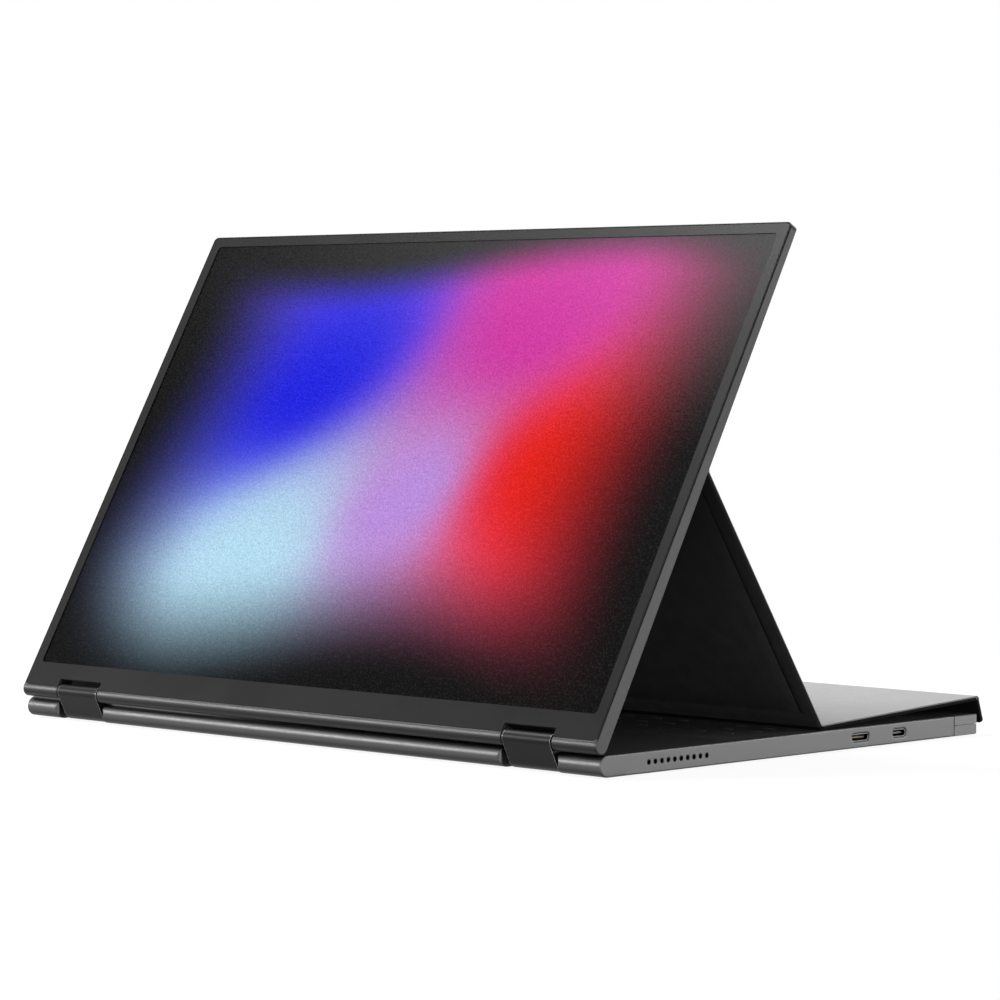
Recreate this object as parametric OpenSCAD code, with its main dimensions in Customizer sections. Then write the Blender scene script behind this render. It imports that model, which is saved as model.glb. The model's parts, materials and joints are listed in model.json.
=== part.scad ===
// Folding two-screen portable monitor with a four-panel stand cover.
// The lower monitor lies with its screen down, the upper one leans back on the cover's strut.
// X runs along the hinges, Y from the hinge edge to the rear, Z up.
// The origin is on the floor, under the middle of the whole object.

/* [Display] */
// Width of the lit area
view_w = 344.68; // [300:0.01:400]
// Height of the lit area
view_h = 215.42; // [190:0.01:250]
// Bezel beside the lit area, on both sides of both monitors
side_bezel = 5.76; // [5:0.01:8]
// Bezel between the lit area and the upper monitor's top edge
top_bezel = 5.3; // [4:0.1:8]
// Distance of the lit area from the upper monitor's round hinge edge
low_bezel = 15.38; // [14.8:0.01:20]
// Bezel between the lit area and the lower monitor's rear edge
rear_bezel = 4.3; // [3.8:0.1:6]
// Distance of the lit area from the lower monitor's front edge
front_bezel = 13.08; // [12.8:0.01:18]
// Thickness of the bezel plate
bezel_t = 0.5; // [0.4:0.05:0.6]
// Clearance round the bezel plates
bezel_gap = 0.2; // [0.1:0.05:0.3]
// Radius of the lit area's corners
view_corner = 1.8; // [0.5:0.1:3]
// Thickness of the display panel
panel_t = 1.0; // [0.8:0.05:1.1]
// Thickness of the backlight
backlight_t = 0.9; // [0.7:0.05:1.05]
// Border of the display panel hidden under the bezel
panel_border = 0.9; // [0.6:0.1:1.1]

/* [Lower monitor] */
// Thickness of the lower monitor
base_t = 8.5; // [8.3:0.1:10]
// Thickness of the deck, the wall that faces up
deck_wall = 1.0; // [0.8:0.1:1.2]
// Thickness of the side walls of both monitors
side_wall = 1.5; // [1.2:0.1:1.8]
// Depth of the two-part rear rail
rail_d = 15.3; // [12:0.1:20]
// Height of the seam in the rear rail above the lower screen's face
rail_seam_z = 4.5; // [4:0.1:5.5]
// Height of the rubber feet below the lower screen's face
foot_h = 0.4; // [0.3:0.1:1.2]

/* [Upper monitor] */
// Thickness at the hinge edge
screen_t_low = 6.8; // [6.5:0.1:7.2]
// Thickness at the top edge
screen_t_top = 4.0; // [3.8:0.1:5]
// Lean of the display from upright, in degrees
screen_lean = 29.56; // [24:0.1:36]
// Radius of the two top corners
corner_r = 3.0; // [1.5:0.5:4]

/* [Hinges] */
// Distance of each hinge's middle from the side of the body
hinge_inset = 38.1; // [34:0.1:60]
// Width of a hinge link
link_w = 26.4; // [20:0.1:32]
// Distance of the lower hinge axis from the lower monitor's front edge
base_axis_y = 5.64; // [5.5:0.01:6.5]
// Gap between the two round edges as they pass each other
edge_gap = 0.3; // [0.2:0.05:0.6]
// Gap between the link and the outer side of its notch
link_gap = 1.0; // [0.6:0.1:1.5]
// Extra width on the left of each notch in the lower monitor
notch_relief = 2.6; // [0:0.1:4]
// Radius of the hinge pins
pin_r = 1.5; // [1.2:0.05:1.8]
// Running clearance of the link round its pins
pin_play = 0.05; // [0.02:0.01:0.1]
// Thickness of the hinge brackets
bracket_t = 1.4; // [1:0.1:1.6]

/* [Sockets and sound] */
// Number of sound holes on each side
hole_count = 10; // [4:1:12]
// Radius of a sound hole
hole_r = 0.95; // [0.6:0.05:1.2]
// Distance between sound holes
hole_pitch = 3.74; // [3:0.01:4]
// Distance of the first sound hole from the front edge
hole_first_y = 27.5; // [26:0.1:34]
// Distance of the video socket's middle from the front edge
video_y = 155.9; // [150:0.1:160]
// Distance of the data socket's middle from the front edge
data_y = 181.1; // [178:0.1:186]
// Height of the sockets' middle above the lower screen's face
socket_z = 4.25; // [4.1:0.05:4.4]

/* [Buttons] */
// Length of the power button
power_len = 9; // [6:0.5:12]
// Distance of the power button's middle from the front edge
power_y = 181; // [176:1:190]
// Length of the menu rocker
rocker_len = 18; // [12:0.5:22]
// Distance of the menu rocker's middle from the front edge
rocker_y = 157; // [150:1:160]
// Height of the power button and the rocker
button_h = 2.6; // [2:0.1:3]
// How far the power button and the rocker stand out
button_proud = 0.5; // [0.4:0.1:0.8]
// Clearance round the power button and the rocker
button_gap = 0.15; // [0.13:0.01:0.25]

/* [Grip pads] */
// Distance of the middle pad from the front edge
pad_y = 76; // [70:1:90]
// Distance of the side pads from the front edge
side_pad_y = 80.5; // [75:0.5:95]
// Distance of the pads' rear ends from the rear edge
pad_rear = 24.8; // [20:0.1:40]
// Width of the side pads
side_pad_w = 47; // [40:1:55]
// Distance between a side pad and the side of the body
pad_margin = 5.2; // [4:0.1:8]
// Strip of deck between the pads
pad_strip = 4; // [3:0.5:6]
// Depth of the pads in the deck
pad_t = 0.5; // [0.3:0.05:0.5]
// Height of the raised dashes above the pads
dash_h = 0.15; // [0.1:0.01:0.2]
// Distance between the rows of dashes
dash_row = 12.7; // [10:0.1:16]

/* [Cover] */
// Distance of the cover's sides from the body's sides
cover_inset = 2; // [1:0.5:4]
// Thickness of the outer skin
skin_t = 0.6; // [0.4:0.1:0.8]
// Thickness of the stiffening boards
board_t = 0.9; // [0.8:0.1:1.4]
// Thickness of the inner lining
lining_t = 0.5; // [0.4:0.1:0.6]
// Height of the middle fold above the upper hinge axis, along the monitor
fold_s = 122.6; // [112:0.1:130]
// Length of the strut panel
strut_len = 126.7; // [118:0.1:137]
// Clearance between the rear edge of the lower monitor and the rear flap's fold
flap_gap = 2.6; // [1.5:0.1:5]
// Rise of the foot panel towards the rear, in degrees
foot_rise = 2.9; // [2:0.1:4]
// Length of the rear flap
flap_len = 10.4; // [9:0.1:11]
// Lean of the rear flap from upright, in degrees
flap_lean = 17.8; // [14:0.1:20]
// Half of the gap that each fold leaves between its panels
fold_gap = 0.3; // [0.2:0.05:0.4]
// Distance of the pressed line from the edge of the strut's lining
border_line = 6.5; // [5:0.5:10]
// Clearance of the resting fold above the deck
rest_gap = 0.3; // [0.2:0.05:0.5]

/* [Hidden] */

$fn = 64;
eps = 0.01;
fit = 0.12;

body_w = view_w + 2 * side_bezel;
base_d = front_bezel + view_h + rear_bezel;
screen_len = low_bezel + view_h + top_bezel;
hinge_x = body_w / 2 - hinge_inset;
pad_end_y = base_d - pad_rear;

// Hinge line: the lower axis is in the lower monitor, the upper one in the round edge.
axis_z = base_t / 2;
edge_r = screen_t_low / 2;
link_pitch = base_axis_y + edge_r + edge_gap;
link_lean = (90 - screen_lean) / 2;
screen_axis_y = base_axis_y - link_pitch * sin(link_lean);
screen_axis_z = axis_z + link_pitch * cos(link_lean);

// Upper monitor, laid flat: s from the hinge axis, n towards the viewer.
screen_top_s = screen_len - edge_r;
back_top_n = edge_r - screen_t_top;
back_taper = (back_top_n + edge_r) / screen_top_s;
shell_wall = 0.8;
lip = 0.6;
edge_bevel = 0.3;
rail_gap = 0.25;
view_low_s = low_bezel - edge_r;
bezel_low_s = 0.6;
display_depth = bezel_t + panel_t + backlight_t;

// Notches and hinge bays.
link_end_r = axis_z;
notch_w = link_w + 2 * link_gap;
base_notch_w = notch_w + notch_relief;
base_notch_y = base_axis_y + link_end_r + 0.45;
screen_notch_s = edge_r + 1.2;
notch_wall = 1.0;
knuckle_w = 5;
knuckle_r = 2.45;
bay_r = knuckle_r + 0.3;
bay_w = knuckle_w + 1.2;
notch_round = 2.0;
cavity_front_y = base_notch_y + notch_wall;
base_bezel_y = cavity_front_y - 0.4;
base_view_y = front_bezel;

// Lower monitor.
rail_y = base_d - rail_d;
pocket_z = bezel_t;
ceiling_z = base_t - deck_wall;
mid_pad_w = body_w - 2 * (pad_margin + side_pad_w + pad_strip);

// Cover: each fold's line, and the lean of each panel above level.
seat = 0.02;
cover_t = skin_t + board_t + lining_t;
cover_w = body_w - 2 * cover_inset;
cover_corner = 1.2;
board_inset = 1.0;
magnet_x = cover_w / 2 - 56;
timing_w = 180;
screen_rise = 90 - screen_lean;
back_angle = atan(back_taper);
fold_n = back_n(fold_s) - (cover_t + seat) / cos(back_angle);
mid_fold = screen_point(fold_s, fold_n);
foot_fold_z = base_t + rest_gap + cover_t;
strut_drop = asin((mid_fold[1] - foot_fold_z) / strut_len);
foot_fold = mid_fold + strut_len * [cos(strut_drop), -sin(strut_drop)];
foot_len = (base_d + flap_gap - foot_fold[0] - cover_t * sin(foot_rise)) / cos(foot_rise);
flap_fold = foot_fold + foot_len * [cos(foot_rise), sin(foot_rise)]
  + cover_t * [sin(foot_rise), -cos(foot_rise)];
flap_drop = 90 - flap_lean;
flap_tip_y = flap_fold[0] + flap_len * cos(flap_drop) + cover_t * sin(flap_drop);

// The whole object's middle in Y, over which the origin sits.
front_y = screen_axis_y - edge_r;
middle_y = (front_y + flap_tip_y) / 2;

function back_n(s) = -edge_r + back_taper * s;
function screen_point(s, n) = [
  screen_axis_y + s * cos(screen_rise) - n * sin(screen_rise),
  screen_axis_z + s * sin(screen_rise) + n * cos(screen_rise)];

// ---- placing ----

// Moves what is drawn from the lower monitor's front edge into the object's frame.
module placed() {
  translate([0, -middle_y, foot_h]) children();
}

// The upper monitor's frame, with Y along the display and Z towards the viewer.
module on_screen() {
  placed() translate([0, screen_axis_y, screen_axis_z]) rotate([screen_rise, 0, 0]) children();
}

// The lower display's frame: Z points down, out of its face.
module on_base_display() {
  placed() rotate([0, 180, 0]) children();
}

// A cover panel's frame: Y along the panel from its fold, Z out of its skin.
module at_fold(fold, rise) {
  placed() translate([0, fold[0], fold[1]]) rotate([rise, 0, 0]) children();
}

module at_hinges() {
  for (side = [-1, 1]) translate([side * hinge_x, 0, 0]) children();
}

// ---- shared shapes ----

// A plate centred in X that starts at Y = 0, with round corners.
module rounded_plate(w, d, t, r) {
  linear_extrude(t) rounded_outline(w, d, r);
}

module rounded_outline(w, d, r) {
  translate([0, r]) far_rounded(w, d - r, r);
  translate([-w / 2 + r, 0]) square([w - 2 * r, 2 * r]);
  for (x = [-w / 2 + r, w / 2 - r]) translate([x, r]) circle(r);
}

// An outline centred in X that starts at Y = 0, with only its two far corners round.
module far_rounded(w, d, r) {
  translate([-w / 2, 0]) square([w, d - r]);
  translate([-w / 2 + r, 0]) square([w - 2 * r, d]);
  for (x = [-w / 2 + r, w / 2 - r]) translate([x, d - r]) circle(r);
}

// A block centred in X that starts at y and z.
module block(w, y, d, z, h) {
  translate([-w / 2, y, z]) cube([w, d, h]);
}

// A long slot or pill along Y, centred, pushed through along X.
module pill_x(len, h, depth) {
  rotate([90, 0, 90]) linear_extrude(depth) {
    square([len - h, h], center = true);
    for (y = [-1, 1]) translate([y * (len - h) / 2, 0]) circle(h / 2);
  }
}

// A long 45-degree cutter along Y that bevels the edge at X = Z = 0.
module edge_cutter(bevel, len) {
  side = bevel * sqrt(2);
  rotate([0, 45, 0]) translate([-side / 2, 0, -side / 2]) cube([side, len, side]);
}

// Bevels both ends of a round edge along X: what lies outside a cone, on the open side of the axis.
module round_end_bevels(r, bevel) {
  for (side = [0, 1]) mirror([side, 0, 0]) translate([body_w / 2, 0, 0]) difference() {
    translate([-bevel, -r - 1, -r - 1]) cube([bevel + 1, r + 1, 2 * r + 2]);
    translate([-bevel - 0.1, 0, 0]) rotate([0, 90, 0])
      cylinder(r1 = r + 0.1, r2 = r - bevel - 1, h = bevel + 1.1);
  }
}

// A cylinder along X, centred.
module rod_x(r, len) {
  rotate([0, 90, 0]) cylinder(r = r, h = len, center = true);
}

// Extrudes a profile drawn in Y and Z along X, centred.
module along_x(w) {
  rotate([90, 0, 90]) linear_extrude(w, center = true) children();
}

// Small pan-head screw whose shank goes down from the origin.
module screw(head_r, head_h, shank_r, shank_h) {
  difference() {
    cylinder(r = head_r, h = head_h);
    for (turn = [0, 90]) rotate(turn)
      translate([-head_r * 0.6, -0.12, head_h - 0.2]) cube([head_r * 1.2, 0.24, 0.2 + eps]);
  }
  translate([0, 0, -shank_h]) cylinder(r = shank_r, h = shank_h + eps);
}

// ---- displays, drawn with the face at Z = 0 ----

// Bezel plate with the opening for the lit area.
module bezel_plate(low, high, view_low) {
  difference() {
    translate([0, low, -bezel_t])
      rounded_plate(body_w - 2 * (lip + bezel_gap), high - low, bezel_t, corner_r - lip - bezel_gap);
    translate([0, view_low, -bezel_t - eps])
      rounded_plate(view_w, view_h, bezel_t + 2 * eps, view_corner);
  }
}

module display_panel(view_low) {
  color([0.03, 0.03, 0.04])
    block(view_w + 2 * panel_border, view_low - panel_border, view_h + 2 * panel_border,
      -bezel_t - panel_t, panel_t);
}

module backlight(view_low) {
  color([0.75, 0.76, 0.78]) difference() {
    block(view_w, view_low, view_h, -display_depth, backlight_t);
    for (x = [-3 : 3]) translate([x * view_w / 8 - 12, view_low + 20, -display_depth - eps])
      cube([24, 2, 0.2]);
  }
}

// ---- lower monitor ----

// Side profile of the lower monitor: round front edge, square top and small round below.
module base_profile(front_y, back_y) {
  corner = 0.8;
  difference() {
    union() {
      if (front_y < axis_z) {
        translate([axis_z, axis_z]) circle(axis_z, $fn = 96);
        translate([axis_z, 0]) square([back_y - axis_z, base_t]);
      } else {
        translate([front_y, 0]) square([back_y - front_y, base_t]);
      }
    }
    if (back_y >= base_d) translate([base_d - corner, 0]) difference() {
      translate([0, -eps]) square([corner + eps, corner + eps]);
      translate([0, corner]) circle(corner);
    }
  }
}

// Bevels that break the edges of the two sides.
module side_bevels() {
  for (side = [-1, 1], z = [0, base_t])
    translate([side * body_w / 2, axis_z, z]) edge_cutter(edge_bevel, base_d);
  translate([0, axis_z, axis_z]) round_end_bevels(axis_z, edge_bevel);
}

video_half_w = 5.5;
video_half_h = 1.55;
video_step = 0.9;
data_len = 8.9;
data_h = 3.16;
socket_gap = 0.15;

mouth_bevel = 0.4;

// Bevel round a pill-shaped mouth in the right wall: two cones and the wedge between them.
module bevelled_mouth(len, h) {
  reach = mouth_bevel + 0.2;
  low_r = h / 2 - 0.2;
  top_r = h / 2 + mouth_bevel;
  rotate([0, 90, 0]) for (y = [-1, 1]) translate([0, y * (len - h) / 2, -reach])
    cylinder(r1 = low_r, r2 = top_r + eps, h = reach + eps);
  rotate([90, 0, 0]) linear_extrude(len - h, center = true)
    polygon([[-reach, -low_r], [eps, -top_r - eps], [eps, top_r + eps], [-reach, low_r]]);
}

// Sound holes through both sides.
module sound_holes() {
  for (i = [0 : hole_count - 1]) translate([0, hole_first_y + i * hole_pitch, axis_z])
    rod_x(hole_r, body_w + 2);
}

module socket_openings() {
  wall_x = body_w / 2 - side_wall - eps;
  translate([wall_x, video_y, socket_z]) rotate([90, 0, 90]) linear_extrude(side_wall + 1)
    video_outline(video_half_w + socket_gap, video_half_h + socket_gap, video_step);
  translate([body_w / 2, video_y, socket_z])
    bevelled_mouth(2 * (video_half_w + socket_gap), 2 * (video_half_h + socket_gap));
  translate([wall_x, data_y, socket_z])
    pill_x(data_len + 2 * socket_gap, data_h + 2 * socket_gap, side_wall + 1);
  translate([body_w / 2, data_y, socket_z])
    bevelled_mouth(data_len + 2 * socket_gap, data_h + 2 * socket_gap);
}

module button_openings() {
  wall_x = -body_w / 2 - eps;
  translate([wall_x, power_y, socket_z])
    pill_x(power_len + 2 * button_gap, button_h + 2 * button_gap, side_wall + 2 * eps);
  translate([wall_x, rocker_y, socket_z])
    pill_x(rocker_len + 2 * button_gap, button_h + 2 * button_gap, side_wall + 2 * eps);
}

// The three pad outlines, grown by a margin for the recess in the deck.
module pad_outlines(grow) {
  translate([0, pad_y - grow]) rounded_outline(mid_pad_w + 2 * grow, pad_end_y - pad_y + 2 * grow, 4);
  for (side = [-1, 1])
    translate([side * (body_w / 2 - pad_margin - side_pad_w / 2), side_pad_y - grow])
      rounded_outline(side_pad_w + 2 * grow, pad_end_y - side_pad_y + 2 * grow, 4);
}

// Notch in the lower monitor's front edge, wider on the left of each link.
module base_notch_cut() {
  translate([-notch_w / 2 - notch_relief, -1, -1]) cube([base_notch_w, base_notch_y + 1, base_t + 2]);
}

// Rounds the ends of the two bars beside a notch, seen from above.
module bar_ends(left, right) {
  for (end = [[-left, -1], [right, 1]])
    translate([end[0], 0, -1]) linear_extrude(base_t + 2) difference() {
      translate([end[1] > 0 ? -eps : -notch_round, -eps]) square([notch_round + eps, notch_round + eps]);
      translate([end[1] * notch_round, notch_round]) circle(notch_round);
    }
}

// Room for the hinge knuckles on both sides of a notch, from low to high, closed by a round front.
module hinge_bays(left, right, reach, low, high) {
  for (x = [-left - bay_w, right]) translate([x, 0, 0]) {
    rotate([0, 90, 0]) cylinder(r = bay_r, h = bay_w);
    translate([0, 0, low]) cube([bay_w, reach, high - low]);
  }
}

module at_board_corners() {
  for (x = [board_x + 4, board_x + board_w - 4], y = [board_y + 4, board_y + board_d - 4])
    translate([x, y, 0]) children();
}

board_w = 82;
board_d = 62;
pcb_t = 0.8;
board_x = body_w / 2 - side_wall - board_w - 1;
board_y = 138;
board_z = socket_z + 1.6;

module base_shell() {
  left = notch_w / 2 + notch_relief;
  color([0.42, 0.42, 0.43]) placed() {
    difference() {
      along_x(body_w) base_profile(0, rail_y);
      block(body_w - 2 * side_wall, cavity_front_y, base_d, pocket_z - eps, ceiling_z - pocket_z + eps);
      block(body_w - 2 * lip, base_bezel_y, base_d, -eps, pocket_z + 2 * eps);
      at_hinges() base_notch_cut();
      at_hinges() bar_ends(left, notch_w / 2);
      at_hinges() translate([0, base_axis_y, axis_z]) hinge_bays(left + notch_wall,
        notch_w / 2 + notch_wall, cavity_front_y - base_axis_y + eps, -bay_r, ceiling_z - axis_z);
      at_hinges() translate([-notch_relief / 2, base_axis_y, axis_z])
        rod_x(pin_r + 0.1, base_notch_w + 3 * notch_wall);
      sound_holes();
      socket_openings();
      button_openings();
      translate([0, 0, base_t - pad_t]) linear_extrude(pad_t + eps) pad_outlines(0.1);
      side_bevels();
    }
    at_board_corners() difference() {
      translate([0, 0, board_z + pcb_t]) cylinder(r = 2, h = ceiling_z - board_z - pcb_t + eps);
      translate([0, 0, board_z + pcb_t - eps]) cylinder(r = 0.7, h = 0.8);
    }
  }
}

module rail_half(low, high) {
  difference() {
    intersection() {
      along_x(body_w) base_profile(rail_y + rail_gap, base_d);
      block(body_w, rail_y, rail_d + 1, low, high - low);
    }
    side_bevels();
    children();
  }
}

module rear_rail_upper() {
  color([0.44, 0.44, 0.45]) placed() rail_half(rail_seam_z + rail_gap / 2, base_t)
    block(body_w - 2 * side_wall, rail_y - 1, rail_d - 1, rail_seam_z, base_t - deck_wall - rail_seam_z);
}

module rear_rail_lower() {
  inner_y = base_view_y + view_h + panel_border + fit;
  color([0.44, 0.44, 0.45]) placed() rail_half(0, rail_seam_z - rail_gap / 2) {
    block(body_w - 2 * lip, rail_y - 1, base_d - lip - rail_y + 1, -eps, pocket_z + 2 * eps);
    block(view_w + 2 * panel_border + 2 * fit, rail_y - 1, inner_y - rail_y + 1, 0, rail_seam_z);
  }
}

module base_bezel() {
  color([0.1, 0.1, 0.11]) on_base_display()
    bezel_plate(base_bezel_y + bezel_gap, base_d - lip - bezel_gap, base_view_y);
}

module base_display() {
  on_base_display() display_panel(base_view_y);
}

module base_backlight() {
  on_base_display() backlight(base_view_y);
}

// Four thin rubber strips on the lower bezel, which the object rests on.
module rubber_feet() {
  foot_w = 3;
  color([0.08, 0.08, 0.08]) on_base_display() {
    for (side = [-1, 1], y = [24, base_d - 64]) translate([side * (body_w / 2 - 4), y, 0])
      rounded_plate(foot_w, 40, foot_h, foot_w / 2 - 0.05);
  }
}

module deck_pads() {
  color([0.07, 0.07, 0.08]) placed() translate([0, 0, base_t - pad_t])
    linear_extrude(pad_t) difference() {
      pad_outlines(0);
      dash_outlines(0.05);
    }
}

// Rows of short dashes, every second row shifted by half a step.
module dash_outlines(grow) {
  dash_len = 6;
  dash_w = 1.4;
  step = 15.6;
  first_row = side_pad_y + 19;
  rows = [for (y = first_row; y < pad_end_y - 6; y = y + dash_row)
    if (abs(y - foot_fold[0]) > 6) y];
  for (row = [0 : len(rows) - 1], side = [-1, 0, 1]) {
    field_w = side == 0 ? mid_pad_w : side_pad_w;
    field_x = side * (body_w / 2 - pad_margin - side_pad_w / 2);
    count = floor((field_w - 8) / step);
    for (i = [0 : count - 1]) {
      x = field_x + (i - (count - 1) / 2) * step + (row % 2 - 0.5) * step / 4;
      translate([x, rows[row]]) {
        square([dash_len - dash_w, dash_w + 2 * grow], center = true);
        for (end = [-1, 1]) translate([end * (dash_len - dash_w) / 2, 0]) circle(dash_w / 2 + grow, $fn = 16);
      }
    }
  }
}

module deck_dashes() {
  color([0.35, 0.36, 0.38]) placed() translate([0, 0, base_t - pad_t])
    linear_extrude(pad_t + dash_h) dash_outlines(0);
}

// ---- hinges ----

// One bracket: a leaf with knuckles round the pin on both sides of the notch.
module hinge_bracket(left, right, leaf_y, leaf_z) {
  difference() {
    union() {
      for (x = [-left - knuckle_w, right]) translate([x, 0, 0]) {
        rotate([0, 90, 0]) cylinder(r = knuckle_r, h = knuckle_w);
        translate([0, 0, leaf_z]) cube([knuckle_w, leaf_y + 2, bracket_t]);
        translate([0, 0, min(leaf_z, 0)]) cube([knuckle_w, knuckle_r, abs(leaf_z) + bracket_t / 2]);
      }
      translate([-left - knuckle_w, leaf_y, leaf_z])
        cube([left + right + 2 * knuckle_w, leaf_len, bracket_t]);
    }
    rod_x(pin_r + 0.02, 2 * (left + right + knuckle_w));
    for (x = [-left, right]) translate([x, leaf_y + leaf_len / 2, leaf_z - eps])
      cylinder(r = 1.05, h = bracket_t + 2 * eps);
  }
}

module hinge_pin(left, right) {
  span = left + right + 2 * knuckle_w;
  translate([(right - left) / 2, 0, 0]) difference() {
    rod_x(pin_r, span);
    for (end = [-1, 1]) translate([end * span / 2, 0, 0]) cube([0.8, 0.5, 2 * pin_r + 1], center = true);
  }
}

leaf_len = 9;
base_bay_left = notch_w / 2 + notch_relief + notch_wall + 0.2;
base_bay_right = notch_w / 2 + notch_wall + 0.2;
screen_bay = notch_w / 2 + notch_wall + 0.2;
base_leaf_z = ceiling_z - axis_z - bracket_t - seat;
base_leaf_y = cavity_front_y - base_axis_y + 0.4;

module base_brackets() {
  color([0.3, 0.3, 0.31]) placed() at_hinges() translate([0, base_axis_y, axis_z])
    hinge_bracket(base_bay_left, base_bay_right, base_leaf_y, base_leaf_z);
}

module base_pins() {
  color([0.7, 0.7, 0.72]) placed() at_hinges() translate([0, base_axis_y, axis_z])
    hinge_pin(base_bay_left, base_bay_right);
}

module base_bracket_screws() {
  color([0.6, 0.6, 0.62]) placed() at_hinges() for (x = [-base_bay_left, base_bay_right])
    translate([x, base_axis_y + base_leaf_y + leaf_len / 2, axis_z + base_leaf_z])
      rotate([180, 0, 0]) screw(1.7, 0.7, 1.0, bracket_t);
}

// A hinge link: two round ends joined by their tangent faces, with a bore for each pin.
module link() {
  end_r = link_end_r - 0.05;
  top_r = edge_r - 0.05;
  slant = asin((end_r - top_r) / link_pitch);
  across = [for (side = [-1, 1]) [side * cos(slant), sin(slant)]];
  color([0.17, 0.17, 0.17]) placed() translate([0, base_axis_y, axis_z]) rotate([link_lean, 0, 0])
    difference() {
      along_x(link_w) {
        circle(end_r, $fn = 96);
        translate([0, link_pitch]) circle(top_r, $fn = 96);
        polygon([end_r * across[0], end_r * across[1],
          [0, link_pitch] + top_r * across[1], [0, link_pitch] + top_r * across[0]]);
      }
      rod_x(pin_r + pin_play, link_w + 1);
      translate([0, 0, link_pitch]) rod_x(pin_r + pin_play, link_w + 1);
    }
}

module link_left() {
  translate([-hinge_x, 0, 0]) link();
}

module link_right() {
  translate([hinge_x, 0, 0]) link();
}

// ---- inside the lower monitor ----

module main_board() {
  color([0.05, 0.25, 0.12]) placed() {
    difference() {
      translate([board_x, board_y, board_z]) cube([board_w, board_d, pcb_t]);
      at_board_corners() translate([0, 0, board_z - eps]) cylinder(r = 0.8, h = pcb_t + 2 * eps);
    }
    for (chip = [[14, 14, 14, 14], [36, 20, 10, 10], [34, 40, 16, 9], [12, 38, 8, 12]])
      translate([board_x + chip[0], board_y + chip[1], board_z - 1.2]) cube([chip[2], chip[3], 1.2 + eps]);
  }
}

module board_screws() {
  color([0.6, 0.6, 0.62]) placed() at_board_corners() translate([0, 0, board_z])
    rotate([180, 0, 0]) screw(1.8, 0.6, 0.65, pcb_t + 0.6);
}

// Metal-shelled data socket with its tongue, open towards the side of the body.
module data_socket() {
  depth = 7.4;
  mouth_x = body_w / 2 - 0.5;
  color([0.66, 0.66, 0.68]) placed() translate([mouth_x - depth, data_y, socket_z]) {
    difference() {
      pill_x(data_len, data_h, depth);
      translate([1, 0, 0]) pill_x(data_len - 0.56, data_h - 0.56, depth);
    }
    translate([0.5, -3.35, -0.35]) cube([depth - 1.6, 6.7, 0.7]);
    translate([0, -3, data_h / 2 - 0.2]) cube([depth - 1.5, 6, board_z - socket_z - data_h / 2 + 0.2]);
  }
}

module video_socket() {
  depth = 7;
  mouth_x = body_w / 2 - 0.5;
  color([0.66, 0.66, 0.68]) placed() translate([mouth_x - depth, video_y, socket_z]) {
    difference() {
      rotate([90, 0, 90]) linear_extrude(depth) video_outline(video_half_w, video_half_h, video_step);
      translate([1, 0, 0]) rotate([90, 0, 90]) linear_extrude(depth)
        video_outline(video_half_w - 0.3, video_half_h - 0.3, video_step);
    }
    translate([0.5, -4, -0.3]) cube([depth - 1.6, 8, 0.6]);
    translate([0, -4, video_half_h - 0.2])
      cube([depth - 1.5, 8, board_z - socket_z - video_half_h + 0.2]);
  }
}

// Outline of the video socket: its lower corners step in.
module video_outline(half_w, half_h, step) {
  polygon([[-half_w, half_h], [half_w, half_h], [half_w, -half_h + step], [half_w - step, -half_h],
    [step - half_w, -half_h], [-half_w, -half_h + step]]);
}

speaker_w = 24;
speaker_d = 42;
speaker_h = 4.6;
speaker_z = ceiling_z - speaker_h;

// Speaker box under the deck with an outlet towards the sound holes.
module speaker(side) {
  mid_y = hole_first_y + (hole_count - 1) * hole_pitch / 2;
  x = side * (body_w / 2 - side_wall - 0.6 - speaker_w / 2);
  color([0.12, 0.12, 0.13]) placed() translate([x, mid_y - speaker_d / 2, speaker_z]) difference() {
    rounded_plate(speaker_w, speaker_d, speaker_h, 2);
    translate([side * speaker_w / 2, speaker_d / 2, axis_z - speaker_z + 0.15])
      cube([3, speaker_d - 6, 2.2], center = true);
    translate([-side * 2, speaker_d / 2, -eps]) linear_extrude(0.5) difference() {
      oval(12, 26);
      oval(10, 24);
    }
  }
}

module oval(w, d) {
  square([w, d - w], center = true);
  for (end = [-1, 1]) translate([0, end * (d - w) / 2]) circle(w / 2);
}

module speaker_left() {
  speaker(-1);
}

module speaker_right() {
  speaker(1);
}

// Dust mesh strips between the side walls and the speakers.
module speaker_mesh() {
  mesh_len = (hole_count - 1) * hole_pitch + 6;
  color([0.05, 0.05, 0.05]) placed() for (side = [-1, 1])
    translate([side * (body_w / 2 - side_wall - 0.25) - 0.2, hole_first_y - 3, axis_z - 1.4])
      cube([0.4, mesh_len, 2.8]);
}

button_travel = 0.35;
button_flange = 0.5;
switch_x = -body_w / 2 + side_wall + 0.05 + button_flange + button_travel + 0.25;
pivot_x = switch_x + 1.2;
pivot_r = 0.6;
carrier_z = socket_z + button_h / 2 + 0.7;
carrier_w = 9;

// Carrier under the deck with the side-press switches and the rocker's pivot.
module button_switches() {
  color([0.2, 0.2, 0.22]) placed() {
    translate([switch_x, power_y - 2.3, socket_z - 1.3]) cube([3, 4.6, carrier_z - socket_z + 1.3 + eps]);
    for (side = [-1, 1]) translate([switch_x, rocker_y + side * 6.5 - 1.5, socket_z - 1.3])
      cube([3, 3, carrier_z - socket_z + 1.3 + eps]);
    translate([switch_x, rocker_y - 12, carrier_z])
      cube([carrier_w, power_y - rocker_y + 20, ceiling_z - carrier_z]);
    translate([pivot_x, rocker_y, socket_z - 1.2]) cylinder(r = pivot_r, h = carrier_z - socket_z + 1.2 + eps);
  }
}

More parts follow.
